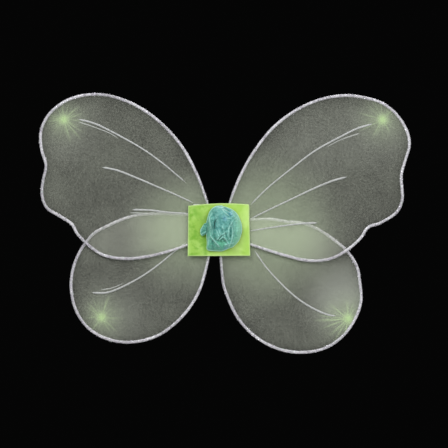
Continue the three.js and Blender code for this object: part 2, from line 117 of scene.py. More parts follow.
# Outlines are [across, up] as shares of the loop's reach and rise; the root's places are shares of
# the front patch's half width and half height.
WINGS = {
    "left_upper": {
        "side": -1, "reach": 0.225, "rise": 0.1715, "exit": 0.364, "side_exit": -0.56,
        "tip": (0.13, -0.09), "approach": (0.22, 0.42), "retreat": (0.36, -0.29),
        "heart": (0.56, 0.34),
        "outline": [
            (0.120, 0.400), (0.209, 0.616), (0.327, 0.790), (0.471, 0.922), (0.616, 0.990),
            (0.709, 1.000), (0.804, 0.981), (0.889, 0.930), (0.960, 0.844), (1.000, 0.729),
            (0.997, 0.600), (0.972, 0.475), (0.987, 0.370), (0.994, 0.262), (0.968, 0.166),
            (0.893, 0.102), (0.827, 0.044), (0.789, -0.038), (0.662, -0.177), (0.540, -0.210),
            (0.408, -0.196), (0.291, -0.159),
        ],
        "veins": {
            "top": [(0.184, 0.347), (0.310, 0.486), (0.417, 0.588), (0.547, 0.687), (0.697, 0.784),
                    (0.790, 0.817)],
            "middle": [(0.136, 0.195), (0.244, 0.261), (0.348, 0.320), (0.484, 0.396), (0.574, 0.441),
                       (0.656, 0.463)],
            "low": [(0.150, 0.120), (0.282, 0.130), (0.380, 0.145), (0.488, 0.150)],
        },
        "rear_veins": {
            "top": [(0.560, 0.668), (0.601, 0.706), (0.683, 0.751), (0.792, 0.800)],
            "low": [(0.395, 0.120), (0.440, 0.126), (0.502, 0.127)],
        },
    },
    "right_upper": {
        "side": 1, "reach": 0.241, "rise": 0.170, "exit": 0.344, "side_exit": -0.533,
        "tip": (0.13, -0.09), "approach": (0.22, 0.42), "retreat": (0.36, -0.29),
        "heart": (0.55, 0.33),
        "outline": [
            (0.112, 0.400), (0.181, 0.576), (0.280, 0.754), (0.400, 0.887), (0.541, 0.975),
            (0.665, 1.000), (0.759, 0.986), (0.852, 0.947), (0.933, 0.859), (0.989, 0.728),
            (1.000, 0.628), (0.983, 0.541), (0.958, 0.410), (0.962, 0.294), (0.962, 0.224),
            (0.936, 0.138), (0.850, 0.055), (0.782, 0.018), (0.743, -0.061), (0.673, -0.148),
            (0.596, -0.208), (0.517, -0.228), (0.439, -0.221), (0.332, -0.182), (0.250, -0.146),
        ],
        "veins": {
            "top": [(0.163, 0.182), (0.250, 0.305), (0.378, 0.454), (0.505, 0.590), (0.633, 0.690),
                    (0.729, 0.757), (0.806, 0.789)],
            "middle": [(0.160, 0.078), (0.250, 0.142), (0.378, 0.228), (0.506, 0.314), (0.601, 0.368),
                       (0.671, 0.395)],
            "low": [(0.152, -0.009), (0.346, 0.033), (0.442, 0.049), (0.518, 0.053)],
        },
        "rear_veins": {
            "top": [(0.560, 0.612), (0.633, 0.668), (0.741, 0.721)],
        },
    },
    "left_lower": {
        "side": -1, "reach": 0.1872, "rise": -0.1422, "exit": 0.333, "side_exit": 0.558,
        "tip": (0.18, 0.06), "approach": (0.28, -0.45), "retreat": (0.51, 0.42),
        "heart": (0.57, 0.46),
        "outline": [
            (0.104, 0.425), (0.131, 0.532), (0.198, 0.689), (0.310, 0.847), (0.438, 0.953),
            (0.623, 1.000), (0.788, 0.953), (0.901, 0.849), (0.973, 0.693), (1.000, 0.506),
            (0.992, 0.380), (0.967, 0.267), (0.922, 0.152), (0.844, 0.028), (0.751, -0.039),
            (0.637, -0.103), (0.540, -0.135), (0.377, -0.146),
        ],
        "veins": {
            "single": [(0.209, 0.099), (0.317, 0.208), (0.386, 0.285), (0.490, 0.386), (0.594, 0.467),
                       (0.705, 0.536), (0.767, 0.559), (0.860, 0.559)],
        },
        "rear_veins": {
            "single": [(0.640, 0.470), (0.720, 0.515), (0.800, 0.535)],
        },
    },
    "right_lower": {
        "side": 1, "reach": 0.180, "rise": -0.155, "exit": 0.062, "side_exit": 0.394,
        "tip": (0.15, 0.09), "approach": (0.04, -0.45), "retreat": (0.51, 0.32),
        "heart": (0.55, 0.46),
        "outline": [
            (0.023, 0.345), (0.033, 0.442), (0.060, 0.540), (0.117, 0.686), (0.180, 0.786),
            (0.268, 0.880), (0.410, 0.968), (0.572, 1.000), (0.735, 0.970), (0.860, 0.880),
            (0.952, 0.740), (1.000, 0.585), (0.994, 0.445), (0.970, 0.294), (0.900, 0.170),
            (0.820, 0.089), (0.712, 0.003), (0.582, -0.058), (0.500, -0.064), (0.372, -0.087),
        ],
        "veins": {
            "single": [(0.247, 0.161), (0.332, 0.303), (0.441, 0.442), (0.549, 0.555), (0.657, 0.637),
                       (0.765, 0.692), (0.823, 0.704)],
        },
        "rear_veins": {},
    },
}

# Sprayed dye: centre in X and Z, reach of the streaks, and the side they fan towards.
DYE_BURSTS = [
    {"at": (-0.1961, 0.1397), "streaks": 0.022, "fan": (0.3, -0.3)},
    {"at": (0.2071, 0.1397), "streaks": 0.024, "fan": (-0.7, 0.5)},
    {"at": (-0.1487, -0.1105), "streaks": 0.023, "fan": (0.2, 0.2)},
    {"at": (0.1637, -0.1125), "streaks": 0.027, "fan": (-0.9, -0.3)},
]
# Green washes near the root: centre in X and Z, full out to one distance and gone at the next.
DYE_WASHES = [(-0.034, 0.000, 0.020, 0.097), (0.058, 0.000, 0.035, 0.116)]
# Pale overspray: centre in X and Z, reach, and how much it fills between the yarns.
DYE_MISTS = [
    (-0.188, 0.121, 0.060, 0.040), (0.200, 0.123, 0.070, 0.045), (0.125, 0.110, 0.075, 0.030),
    (-0.132, -0.108, 0.070, 0.042), (0.158, -0.089, 0.068, 0.128),
]


# ---- shapes worked out with numpy ----


def ease(low, high, value):
    """0 below low and 1 above high, with a smooth S between them."""
    share = np.clip((value - low) / (high - low), 0, 1)
    return share * share * (3 - 2 * share)


def around(count):
    """A row of equal angles once round a circle."""
    return np.linspace(0, TURN, count, endpoint=False)[None, :]


def joined(*parts):
    """Numbers and arrays that fit one another, joined into places along a last axis."""
    return np.stack(np.broadcast_arrays(*parts), axis=-1)


def spline(points, steps=20, closed=False):
    """Centripetal Catmull-Rom curve through the points: each span is a cubic whose end slopes come
    from its neighbours, spaced by the square roots of the spans' lengths."""
    places = np.asarray(points, float)
    if closed:
        before, start, end, after = (np.roll(places, k, axis=0) for k in (1, 0, -1, -2))
    else:
        wide = np.vstack([2 * places[0] - places[1], places, 2 * places[-1] - places[-2]])
        before, start, end, after = wide[:-3], wide[1:-2], wide[2:-1], wide[3:]
    gaps = [(before, start), (start, end), (end, after)]
    d0, d1, d2 = (np.linalg.norm(b - a, axis=1, keepdims=True) ** 0.5 for a, b in gaps)
    leave = d1 * ((start - before) / d0 - (end - before) / (d0 + d1) + (end - start) / d1)
    arrive = d1 * ((end - start) / d1 - (after - start) / (d1 + d2) + (after - end) / d2)
    t = np.linspace(0, 1, steps, endpoint=False)[None, :, None]
    start, end, leave, arrive = (a[:, None, :] for a in (start, end, leave, arrive))
    curve = (
        (2 * t**3 - 3 * t**2 + 1) * start
        + (t**3 - 2 * t**2 + t) * leave
        + (3 * t**2 - 2 * t**3) * end
        + (t**3 - t**2) * arrive
    ).reshape(-1, places.shape[1])
    return curve if closed else np.vstack([curve, places[-1:]])


def run_of(line):
    """Distance covered along a line at each of its points."""
    return np.concatenate([[0], np.cumsum(np.linalg.norm(np.diff(line, axis=0), axis=1))])


def evenly(line, spacing, closed=False):
    """The same line with its points evenly spaced along its length."""
    whole = np.vstack([line, line[:1]]) if closed else line
    run = run_of(whole)
    count = max(6, round(run[-1] / spacing))
    places = np.linspace(0, run[-1], count + 1)
    places = places[:-1] if closed else places
    return np.stack([np.interp(places, run, whole[:, k]) for k in range(whole.shape[1])], axis=1)


def headings(line, closed=False):
    """Unit direction of a line at each of its points, from its two neighbours."""
    if closed:
        step = np.roll(line, -1, axis=0) - np.roll(line, 1, axis=0)
    else:
        step = np.gradient(line, axis=0)
    return step / np.linalg.norm(step, axis=1, keepdims=True)


def carried(line, plane, across, forward, closed=False):
    """A section carried along a flat line of X and Z. Each row is one place on the line: across
    runs square to the line in its plane, forward runs from the plane towards the front."""
    heading = headings(line, closed)
    x = line[:, :1] - heading[:, 1:] * across
    z = line[:, 1:] + heading[:, :1] * across
    return joined(x, plane - forward, z)


def lattice(grid, around=False, closed=False, caps="", flip=False):
    """Faces between neighbouring points of a grid. around joins the last column to the first and
    closed the last row to the first; caps names the end rows that get a middle point."""
    rows, columns = grid.shape[:2]
    index = np.arange(rows * columns).reshape(rows, columns)
    if around:
        index = np.hstack([index, index[:, :1]])
    if closed:
        index = np.vstack([index, index[:1]])
    corners = [index[:-1, :-1], index[:-1, 1:], index[1:, 1:], index[1:, :-1]]
    faces = [joined(*corners).reshape(-1, 4)]
    points = grid.reshape(-1, 3)
    for end, row in (("first", index[0]), ("last", index[-1][::-1])):
        if end in caps:
            middle = grid[0 if end == "first" else -1].mean(axis=0)
            faces.append(joined(row[1:], row[:-1], len(points)))
            points = np.vstack([points, middle])
    return points, [f[:, ::-1] if flip else f for f in faces]


def make_piece(name, surfaces, finish, lay=None, traits=None):
    """One mesh object from points and faces. lay is the cloth's own map, in metres for each point;
    traits are named values for each point that the finish reads."""
    points, faces, count = [], [], 0
    for places, groups in surfaces:
        points.append(places)
        faces.extend(face for group in groups for face in (group + count).tolist())
        count += len(places)
    mesh = bpy.data.meshes.new(name)
    mesh.from_pydata(np.vstack(points).tolist(), [], faces)
    mesh.polygons.foreach_set("use_smooth", np.ones(len(faces), bool))
    if lay is not None:
        corner = np.zeros(len(mesh.loops), int)
        mesh.loops.foreach_get("vertex_index", corner)
        spread = np.vstack([lay.reshape(-1, 2), np.zeros((count - lay.size // 2, 2))])
        mesh.uv_layers.new(name="lay").data.foreach_set("uv", spread[corner].ravel())
    for trait, values in (traits or {}).items():
        padded = np.zeros(count, np.float32)
        padded[: values.size] = values.ravel()
        mesh.attributes.new(trait, "FLOAT", "POINT").data.foreach_set("value", padded)
    mesh.materials.append(finish)
    mesh.update()
    piece = bpy.data.objects.new(name, mesh)
    bpy.context.scene.collection.objects.link(piece)
    return piece


def thicken(piece, thickness):
    """Gives a single sheet its real thickness, half on each side, with a closed edge."""
    wall = piece.modifiers.new("thickness", "SOLIDIFY")
    wall.thickness = thickness
    wall.offset = 0.0


def settle(piece, slot, *replaced):
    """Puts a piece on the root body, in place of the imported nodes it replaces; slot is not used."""
    if replaced:
        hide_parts(*replaced)
    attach(piece, "root")


# ---- shader maths ----


def binary(operation):
    """A method that adds one Math node for two numbers."""
    return lambda first, second: first.math(operation, second)


class Value:
    """A number from a shader node. Arithmetic on it adds Math nodes to the same finish."""

    def __init__(self, finish, socket):
        self.finish = finish
        self.socket = socket

    def math(self, operation, *others):
        inputs = dict(enumerate((self,) + others))
        return self.finish.node("ShaderNodeMath", {"operation": operation}, inputs)

    __add__ = __radd__ = binary("ADD")
    __sub__ = binary("SUBTRACT")
    __mul__ = __rmul__ = binary("MULTIPLY")
    __truediv__ = binary("DIVIDE")
    __pow__ = binary("POWER")
    least = binary("MINIMUM")
    most = binary("MAXIMUM")

    def __rsub__(self, other):
        return self.finish.node("ShaderNodeMath", {"operation": "SUBTRACT"}, {0: other, 1: self})

    def other(self, output):
        """Another output of the same node."""
        return Value(self.finish, self.socket.node.outputs[output])

    def sine(self):
        return self.math("SINE")

    def wave(self):
        """A sine moved into 0 to 1."""
        return self.sine() * 0.5 + 0.5

    def size(self):
        return self.math("ABSOLUTE")

    def root(self):
        return self.math("SQRT")

    def clamped(self):
        return self.most(0.0).least(1.0)

    def ease(self, low, high):
        """0 at low and 1 at high, with a smooth S between them."""
        settings = {"interpolation_type": "SMOOTHSTEP"}
        inputs = {"Value": self, "From Min": low, "From Max": high}
        return self.finish.node("ShaderNodeMapRange", settings, inputs)


class Finish:
    """A material with one Principled shader. A coverage below 1 lets light through between the
    threads; what is set on the shader directly is the same all over."""

    def __init__(self, name, **constants):
        self.material = bpy.data.materials.new(name)
        self.material.use_nodes = True
        self.tree = self.material.node_tree
        self.shader = self.tree.nodes["Principled BSDF"]
        for socket, value in constants.items():
            self.shader.inputs[socket.replace("_", " ")].default_value = value

    def node(self, kind, settings=None, inputs=None, output=0):
        """Adds a node: its settings first, then its sockets by name or number."""
        node = self.tree.nodes.new(kind)
        for setting, value in (settings or {}).items():
            setattr(node, setting, value)
        for socket, value in (inputs or {}).items():
            self.feed(node.inputs[socket], value)
        return Value(self, node.outputs[output])

    def feed(self, socket, value):
        if isinstance(value, Value):
            self.tree.links.new(value.socket, socket)
        elif socket.type == "RGBA" and len(value) == 3:
            socket.default_value = (*value, 1.0)
        else:
            socket.default_value = value

    def where(self):
        """Object coordinates as one vector."""
        return self.node("ShaderNodeTexCoord", output="Object")

    def place(self):
        """Object coordinates as three numbers, and as one vector."""
        where = self.where()
        x = self.node("ShaderNodeSeparateXYZ", inputs={0: where})
        return x, x.other(1), x.other(2), where

    def lay(self):
        """The cloth's own map as two numbers in metres."""
        where = self.node("ShaderNodeUVMap", {"uv_map": "lay"})
        along = self.node("ShaderNodeSeparateXYZ", inputs={0: where})
        return along, along.other(1)

    def trait(self, name):
        return self.node("ShaderNodeAttribute", {"attribute_name": name}, output="Fac")

    def vector(self, x, y, z):
        return self.node("ShaderNodeCombineXYZ", inputs={0: x, 1: y, 2: z})

    def noise(self, vector, scale, detail=2.0, roughness=0.5):
        inputs = {"Vector": vector, "Scale": scale, "Detail": detail, "Roughness": roughness}
        return self.node("ShaderNodeTexNoise", inputs=inputs)

    def cells(self, vector, scale, output="Distance"):
        inputs = {"Vector": vector, "Scale": scale}
        return self.node("ShaderNodeTexVoronoi", inputs=inputs, output=output)

    def mix(self, first, second, share):
        """Colour between two colours."""
        inputs = {0: share, 6: first, 7: second}
        return self.node("ShaderNodeMix", {"data_type": "RGBA"}, inputs, output=2)

    def facets(self, vector, scale):
        """Small cells, each with two random numbers of its own."""
        facet = self.cells(vector, scale, "Color")
        first = self.node("ShaderNodeSeparateColor", inputs={0: facet})
        return first, first.other(1)

    def relief(self, height, depth, strength=1.0):
        """Normals for a height of 0 to 1 that stands for a depth in metres."""
        inputs = {"Height": height, "Distance": depth, "Strength": strength}
        self.feed(self.shader.inputs["Normal"], self.node("ShaderNodeBump", inputs=inputs))

    def set(self, **links):
        for socket, value in links.items():
            self.feed(self.shader.inputs[socket.replace("_", " ")], value)
        return self


# ---- finishes ----


NYLON_KNIT = 11400.0  # radians per metre across the yarns
NYLON_GRAIN = 460.0
NYLON_DUST = 380.0
NYLON_CLOUD = 26.0
BURST_CORE = 0.0115
BURST_HALO = 2.5  # reach of the glow round a burst, in lengths of its streaks


def nylon_finish():
    """Two-way stretch nylon: fine yarns with gaps, a green wash near the root and sprayed bursts."""
    cloth = Finish("nylon", Roughness=0.62, Sheen_Weight=0.35, Sheen_Roughness=0.4, IOR=1.45)
    x, _, z, where = cloth.place()

    def distance_to(centre_x, centre_z):
        right, up = x - centre_x, z - centre_z
        return (right * right + up * up).root()

    wash, mist = 0.0, 0.0
    for centre_x, centre_z, full, gone in DYE_WASHES:
        wash = (1.0 - distance_to(centre_x, centre_z).ease(full, gone)).most(wash)
    for centre_x, centre_z, reach, share in DYE_MISTS:
        mist = (1.0 - distance_to(centre_x, centre_z).ease(0.0, reach)) * share + mist
    grain = cloth.noise(where, NYLON_GRAIN, 3.0, 0.75)
    dust = 1.0 - cloth.cells(where, NYLON_DUST).ease(0.06, 0.36)
    cloud = cloth.noise(where, NYLON_CLOUD, 3.0, 0.55)
    wales, courses = ((side * NYLON_KNIT + grain * 2.0).wave() for side in (x, z))
    knit = wales * courses
    burst, halo = 0.0, 0.0
    for number, dye in enumerate(DYE_BURSTS):
        right, up = x - dye["at"][0], z - dye["at"][1]
        away = (right * right + up * up).root() + 1e-5
        toward_x, toward_z = right / away, up / away
        spread = cloth.vector(toward_x * 7.5 + 17.0 * number, 0.0, toward_z * 7.5)
        streak = cloth.noise(spread, 1.0, 1.0, 0.6).ease(0.44, 0.64)
        length = cloth.noise(spread, 0.8, 0.0, 0.5) * 1.5 + 0.25
        fan = toward_x * dye["fan"][0] + toward_z * dye["fan"][1]
        reach = (fan * 0.40 + 1.0) * length * dye["streaks"]
        ray = (1.0 - (away / reach).clamped()) ** 0.9 * streak * 0.75
        core = 1.0 - away.ease(0.0, BURST_CORE)
        burst = ray.most(core) + burst
        glow = 1.0 - away.ease(0.0, dye["streaks"] * BURST_HALO)
        halo = glow * glow + halo
    burst, halo = burst.clamped(), halo.clamped()
    rim = cloth.trait("rim_share").ease(0.84, 1.0)
    plain = cloth.mix((0.44, 0.45, 0.39), (0.50, 0.53, 0.44), cloud)
    misted = cloth.mix(plain, (0.60, 0.63, 0.56), (mist * 7.0).clamped())
    washed = cloth.mix(misted, (0.59, 0.675, 0.485), (wash * 0.95).most(halo * 0.85))
    cloth.set(Base_Color=cloth.mix(washed, (0.60, 0.80, 0.41), burst))
    coverage = 0.115 + (grain - 0.5) * 0.31 + (cloud - 0.5) * 0.07 + (knit - 0.25) * 0.05
    dyed = wash * 0.098 + mist + halo * 0.055 + burst * 0.25
    cloth.set(Alpha=(coverage + dust * 0.095 - rim * 0.032 + dyed).clamped())
    cloth.relief(knit * 0.5 + grain * 0.5, 0.00012, 0.6)
    return cloth.material


def glitter_coat_finish():
    """Dried glitter glue: a pale lilac binder set with small facets."""
    coat = Finish("glitter_coat", Coat_Weight=0.25, Coat_Roughness=0.25, IOR=1.5)
    where = coat.where()
    split, second = coat.facets(where, 1100.0)
    patchy = coat.noise(where, 330.0, 3.0, 0.7)
    uneven = coat.noise(where, 19.0, 1.0, 0.5).ease(0.35, 0.62)
    pale = coat.mix((0.32, 0.30, 0.34), (0.70, 0.68, 0.73), split * 0.5 + uneven * 0.5)
    tinted = coat.mix(pale, (0.50, 0.56, 0.50), second.ease(0.80, 1.0) * 0.6)
    coat.set(Base_Color=coat.mix(tinted, (0.13, 0.11, 0.15), patchy.ease(0.46, 0.70) * 0.75))
    coat.set(Roughness=second * 0.4 + 0.25, Metallic=split.ease(0.75, 1.0) * 0.5)
    coat.relief(split * 0.6 + patchy * 0.6, 0.0003, 0.9)
    return coat.material


def vein_finish():
    """Glitter glue drawn in a thin line: greyer than the rim, and the nylon shows through it."""
    bead = Finish("glue_vein", Coat_Weight=0.2, Coat_Roughness=0.3, IOR=1.5)
    where = bead.where()
    split, _ = bead.facets(where, 1300.0)
    patchy = bead.noise(where, 210.0, 3.0, 0.6)
    grey = bead.mix((0.34, 0.35, 0.35), (0.64, 0.65, 0.65), split * 0.6 + patchy * 0.4)
    bead.set(Base_Color=grey)
    bead.set(Roughness=split * 0.35 + 0.3, Alpha=0.60 + patchy * 0.36)
    bead.relief(split * 0.6 + patchy * 0.6, 0.0002, 0.8)
    return bead.material


def glitter_flake_finish():
    """Loose metallised flakes, each one its own tint."""
    flake = Finish("glitter_flake", Roughness=0.30, Metallic=0.60)
    tint = flake.trait("tint")
    lilac = flake.mix((0.52, 0.47, 0.62), (0.74, 0.74, 0.76), tint.ease(0.0, 0.6))
    flake.set(Base_Color=flake.mix(lilac, (0.50, 0.70, 0.56), tint.ease(0.90, 1.0)))
    return flake.material


def lime_cloth_finish(name, left_shade):
    """Lime green plain weave, with dye mottling, a darker left third, a painted highlight along its
    turned edge and painted shade in its creases.
    """
    cloth = Finish(name, Sheen_Weight=0.25, Sheen_Roughness=0.5, IOR=1.4)
    x, _, z, where = cloth.place()
    fray = cloth.noise(where, 420.0, 2.0, 0.6)
    warp = (x * 5200.0 + fray * 1.6).sine()
    weft = (z * 5200.0 + fray * 1.6).sine()
    weave = warp * weft * 0.5 + 0.5
    mottle = cloth.noise(where, 120.0, 4.0, 0.6).ease(0.40, 0.66)
    drift = cloth.noise(where, 48.0, 2.0, 0.5)
    left = (1.0 - x.ease(-0.030, 0.006)) * left_shade
    lime = cloth.mix((0.38, 0.62, 0.105), (0.50, 0.73, 0.20), drift.ease(0.35, 0.65))
    leafy = cloth.mix(lime, (0.15, 0.37, 0.02), left * 0.34 + mottle * (left * 0.48 + 0.08))
    # Painted shade where the cloth dips into creases and along the stitching, with the front's darker
    # stretches.
    deep = cloth.mix(leafy, (0.15, 0.38, 0.03), cloth.trait("dip") * 0.8)
    edge = cloth.trait("edge_share").ease(0.0, 1.0)
    # Painted highlight along the turned edge.
    edge_highlighted = cloth.mix(deep, (0.55, 0.71, 0.30), edge * 0.6)
    cloth.set(Base_Color=cloth.mix(edge_highlighted, (0.20, 0.42, 0.03), (1.0 - weave) * 0.16))
    cloth.set(Roughness=0.95 - weave * 0.2)
    cloth.relief(weave * 0.8 + fray * 0.3, 0.00025, 0.7)
    return cloth.material


def organza_finish():
    """Teal organza ribbon: crisp crinkles, a fine square weave, paler woven edges, painted highlights
    on ridges, crests and edges, and painted shade in sinking folds.
    """
    ribbon = Finish("organza", Sheen_Weight=0.5, Sheen_Roughness=0.35, IOR=1.45)
    x, _, z, where = ribbon.place()
    u, v = ribbon.lay()
    hem = ribbon.trait("hem").ease(0.86, 0.98)
    ridge, dip, blue, crest = (ribbon.trait(name) for name in ("ridge", "dip", "blue", "crest"))
    shade, painted_glow = ribbon.trait("shade"), ribbon.trait("painted_glow")
    crinkle = ribbon.noise(where, 300.0, 4.0, 0.7)
    fold = ribbon.noise(where, 110.0, 3.0, 0.6)
    weave = (u * 6300.0).sine() * (v * 6300.0).sine() * 0.5 + 0.5
    teal = ribbon.mix((0.062, 0.27, 0.235), (0.150, 0.43, 0.390), fold.ease(0.28, 0.72))
    tints = [
        ((0.105, 0.42, 0.255), (1.0 - (z + 0.004).ease(-0.024, 0.012)) * 0.65),
        ((0.085, 0.37, 0.215), (1.0 - x.ease(-0.016, -0.004)) * 0.45),
        ((0.250, 0.61, 0.410), x.ease(0.014, 0.026) * 0.80),
        ((0.13, 0.34, 0.50), blue.clamped() * 0.75),
        # Painted shade in the rose's crumpled middle.
        ((0.052, 0.262, 0.245), shade * 0.95),
        # A painted pool of light: lighter green low on the rose, against the tent's shadow.
        ((0.135, 0.520, 0.330), painted_glow * 0.85),
    ]
    tinted = teal
    for tint, share in tints:
        tinted = ribbon.mix(tinted, tint, share)
    # Thin bright lines of painted highlight.
    glint_lines = 1.0 - (ribbon.noise(where, 190.0, 2.0, 0.5) - 0.5).size().ease(0.0, 0.030)
    # Painted highlight on fold ridges, the lip's edge, crinkle crests and the thin lines, weaker
    # where shade is painted.
    glint = (ridge * 0.80).most(hem * 0.7).most(crest * 0.30).most(glint_lines * 0.42) * (1.0 - shade * 0.5)
    glinting = ribbon.mix(tinted, (0.31, 0.64, 0.57), glint)
    # A brighter painted highlight along the lip, over its paler woven edge.
    lit = ribbon.mix(glinting, (0.45, 0.80, 0.70), hem ** 2.0 * 0.80)
    # Painted shade in the sinking folds.
    ribbon.set(Base_Color=ribbon.mix(lit, (0.022, 0.175, 0.150), dip * 0.72))
    ribbon.set(Roughness=0.38 + crinkle * 0.25, Alpha=0.95 - weave * 0.05 - hem * 0.10)
    ribbon.relief(crinkle * 0.9 + weave * 0.1, 0.0005, 0.9)
    return ribbon.material


def elastic_finish():
    """White knitted elastic: ribs along the band and small stitches across it."""
    band = Finish("elastic", Sheen_Weight=0.3, Sheen_Roughness=0.5, IOR=1.4)
    u, v = band.lay()
    where = band.where()
    ribs = (v * 4400.0).wave()
    stitches = (u * 5600.0 + (v * 2200.0).sine() * 2.0).wave()
    soil = band.noise(where, 60.0, 3.0, 0.5)
    white = band.mix((0.66, 0.66, 0.64), (0.86, 0.86, 0.84), ribs * 0.6 + stitches * 0.4)
    band.set(Base_Color=band.mix(white, (0.70, 0.70, 0.62), soil.ease(0.5, 0.8) * 0.3))
    band.set(Roughness=0.9 - ribs * 0.2)
    band.relief(ribs * 0.7 + stitches * 0.3, 0.0004, 0.8)
    return band.material


def thread_finish():
    """Pale green sewing thread with its twist."""
    thread = Finish("sewing_thread", Sheen_Weight=0.2, IOR=1.45)
    x, y, z, where = thread.place()
    twist = ((x + z * 1.7 + y) * 9000.0).wave()
    lint = thread.noise(where, 900.0, 2.0, 0.5)
    green = thread.mix((0.34, 0.52, 0.12), (0.62, 0.80, 0.32), twist * 0.7 + lint * 0.3)
    thread.set(Base_Color=green)
    thread.set(Roughness=0.75 - twist * 0.2)
    thread.relief(twist, 0.00008, 0.6)
    return thread.material


def card_finish():
    """Grey-cream stiffener card with flecks of fibre."""
    card = Finish("stiff_card", IOR=1.45)
    x, y, z, where = card.place()
    fibre = card.noise(card.vector(x * 0.35, y, z), 900.0, 4.0, 0.7)
    fleck = card.noise(where, 420.0, 1.0, 0.5).ease(0.66, 0.74)
    cream = card.mix((0.55, 0.51, 0.42), (0.72, 0.68, 0.58), fibre)
    card.set(Base_Color=card.mix(cream, (0.32, 0.28, 0.22), fleck * 0.6))
    card.set(Roughness=0.85 + fibre * 0.12)
    card.relief(fibre, 0.00012, 0.6)
    return card.material


def tape_finish():
    """White cloth tape: a coarse square weave with a slight gloss."""
    tape = Finish("cloth_tape", Coat_Weight=0.15, Coat_Roughness=0.4, IOR=1.45)
    x, _, z, where = tape.place()
    weave = (x * 6000.0).sine() * (z * 6000.0).sine() * 0.5 + 0.5
    wear = tape.noise(where, 150.0, 3.0, 0.5)
    white = tape.mix((0.62, 0.61, 0.56), (0.82, 0.81, 0.76), weave * 0.5 + wear * 0.5)
    tape.set(Base_Color=white)
    tape.set(Roughness=0.6 + wear * 0.2)
    tape.relief(weave, 0.0002, 0.7)
    return tape.material


def glue_finish():
    """Set hot glue: milky amber, smooth, with small bubbles."""
    glue = Finish("set_glue", Subsurface_Weight=0.3, Coat_Weight=0.3, Coat_Roughness=0.2, IOR=1.47)
    where = glue.where()
    bubble = glue.cells(where, 420.0).ease(0.0, 0.35)
    haze = glue.noise(where, 120.0, 2.0, 0.5)
    glue.set(Base_Color=glue.mix((0.62, 0.55, 0.40), (0.80, 0.76, 0.62), haze))
    glue.set(Roughness=0.25 + haze * 0.2)
    glue.relief(bubble, 0.0002, 0.5)
    return glue.material


def steel_finish():
    """Drawn steel wire with fine lengthwise scratches."""
    steel = Finish("drawn_wire", IOR=1.5)
    where = steel.where()
    draw = steel.noise(where, 700.0, 3.0, 0.6)
    steel.set(Base_Color=steel.mix((0.36, 0.36, 0.37), (0.58, 0.58, 0.60), draw))
    steel.set(Roughness=0.25 + draw * 0.3, Metallic=0.9 - draw * 0.1)
    steel.relief(draw, 0.00005, 0.5)
    return steel.material


NYLON = nylon_finish()
GLITTER_COAT = glitter_coat_finish()
GLITTER_FLAKE = glitter_flake_finish()
GLUE_VEIN = vein_finish()
FRONT_CLOTH = lime_cloth_finish("lime_cloth_front", 1.0)
BACK_CLOTH = lime_cloth_finish("lime_cloth_back", 0.25)
ORGANZA = organza_finish()
ELASTIC = elastic_finish()
THREAD = thread_finish()
CARD = card_finish()
TAPE = tape_finish()
GLUE = glue_finish()
STEEL = steel_finish()


# ---- wings ----


def wire_loop(wing):
    """The wire's centre line in X and Z: a closed spline from its inner tip round the wing and
    back."""
    leave = (wing["exit"], np.sign(wing["rise"]))
    places = np.vstack([
        np.array([wing["tip"], wing["approach"], leave]) * HALF_SIZES,
        np.array(wing["outline"]) * [wing["reach"], wing["rise"]],
        np.array([(1, wing["side_exit"]), wing["retreat"]]) * HALF_SIZES,
    ])
    return spline(places * [wing["side"], 1], steps=40, closed=True)


def tip_of(wing):
    """The wire's inner tip in X and Z."""
    return np.array(wing["tip"]) * [wing["side"] * HALF_PATCH, HALF_FRONT]


def span_of(wing):
    """The loop's reach to its own side and its rise: what the wing's shares are shares of."""
    return np.array([wing["side"] * wing["reach"], wing["rise"]])


def double_area(line):
    """Twice a closed line's area, by the shoelace sum: its sign says which way the line turns."""
    x, z = line[:, 0], line[:, 1]
    return (x * np.roll(z, -1) - np.roll(x, -1) * z).sum()


def outer_side(line):
    """-1 or +1: which side of a closed line its outside is on."""
    return -np.sign(double_area(line))


def outside_core(line, tuck):
    """The run of a loop outside the front patch shrunk by tuck. The loop starts inside it."""
    outside = (np.abs(line) > HALF_SIZES - tuck).any(axis=1)
    return line[np.argmax(outside) : len(line) - np.argmax(outside[::-1])]


def add_wire(name, loop, plane):
    """The bent wire: a circle of the wire's radius carried round the whole loop."""
    line = evenly(loop, 2.0 * MM, closed=True)
    turn = around(10)
    section = WIRE_RADIUS * np.cos(turn), WIRE_RADIUS * np.sin(turn)
    tube = carried(line, plane, *section, closed=True)
    surface = lattice(tube, around=True, closed=True)
    piece = make_piece(name + "_frame_wire", [surface], STEEL)
    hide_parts(name + "_wire", name + "_wire_root")
    return piece


def coat_line(loop):
    """The part of the loop that wears glitter: from under the patch's edge round the wing to just
    inside its side edge."""
    return outside_core(evenly(loop, 0.75 * MM, closed=True), COAT_TUCK)


def coat_swell(run, rng):
    """How full the coat is at each place: rounded ends and slow thick and thin stretches."""
    slow = sum(np.sin(run * k + rng.uniform(0, TURN)) for k in (70, 131, 233)) / 3
    lumps = sum(np.sin(run * k + rng.uniform(0, TURN)) for k in (890, 1370, 2110)) / 3
    from_end = np.minimum(run, run[-1] - run)
    ends = ease(-2 * MM, 4 * MM, from_end)
    lean = 0.80 + 0.20 * ease(0, 40 * MM, from_end)
    return ends * lean * (0.87 + 0.06 * slow + 0.035 * lumps)


def add_coat(name, loop, plane, rng):
    """Glitter coat: an oval section carried along the wire, pitted at random all over."""
    line = coat_line(loop)
    turn = around(14)
    swell = coat_swell(run_of(line), rng)[:, None]
    pits = rng.random((len(line), turn.size))
    pits = 0.5 * pits + 0.25 * np.roll(pits, 1, axis=0) + 0.25 * np.roll(pits, 1, axis=1)
    pits = 1 - COAT_PITS * pits**1.5
    across = COAT_HALF_WIDTH * swell * pits * np.cos(turn)
    forward = COAT_HALF_DEPTH * swell * pits * np.sin(turn)
    tube = carried(line, plane, across, forward)
    surface = lattice(tube, around=True, caps="first last")
    piece = make_piece(name + "_glitter_rim", [surface], GLITTER_COAT)
    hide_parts(name + "_rim_coat", name + "_rim_coat_root")
    return piece


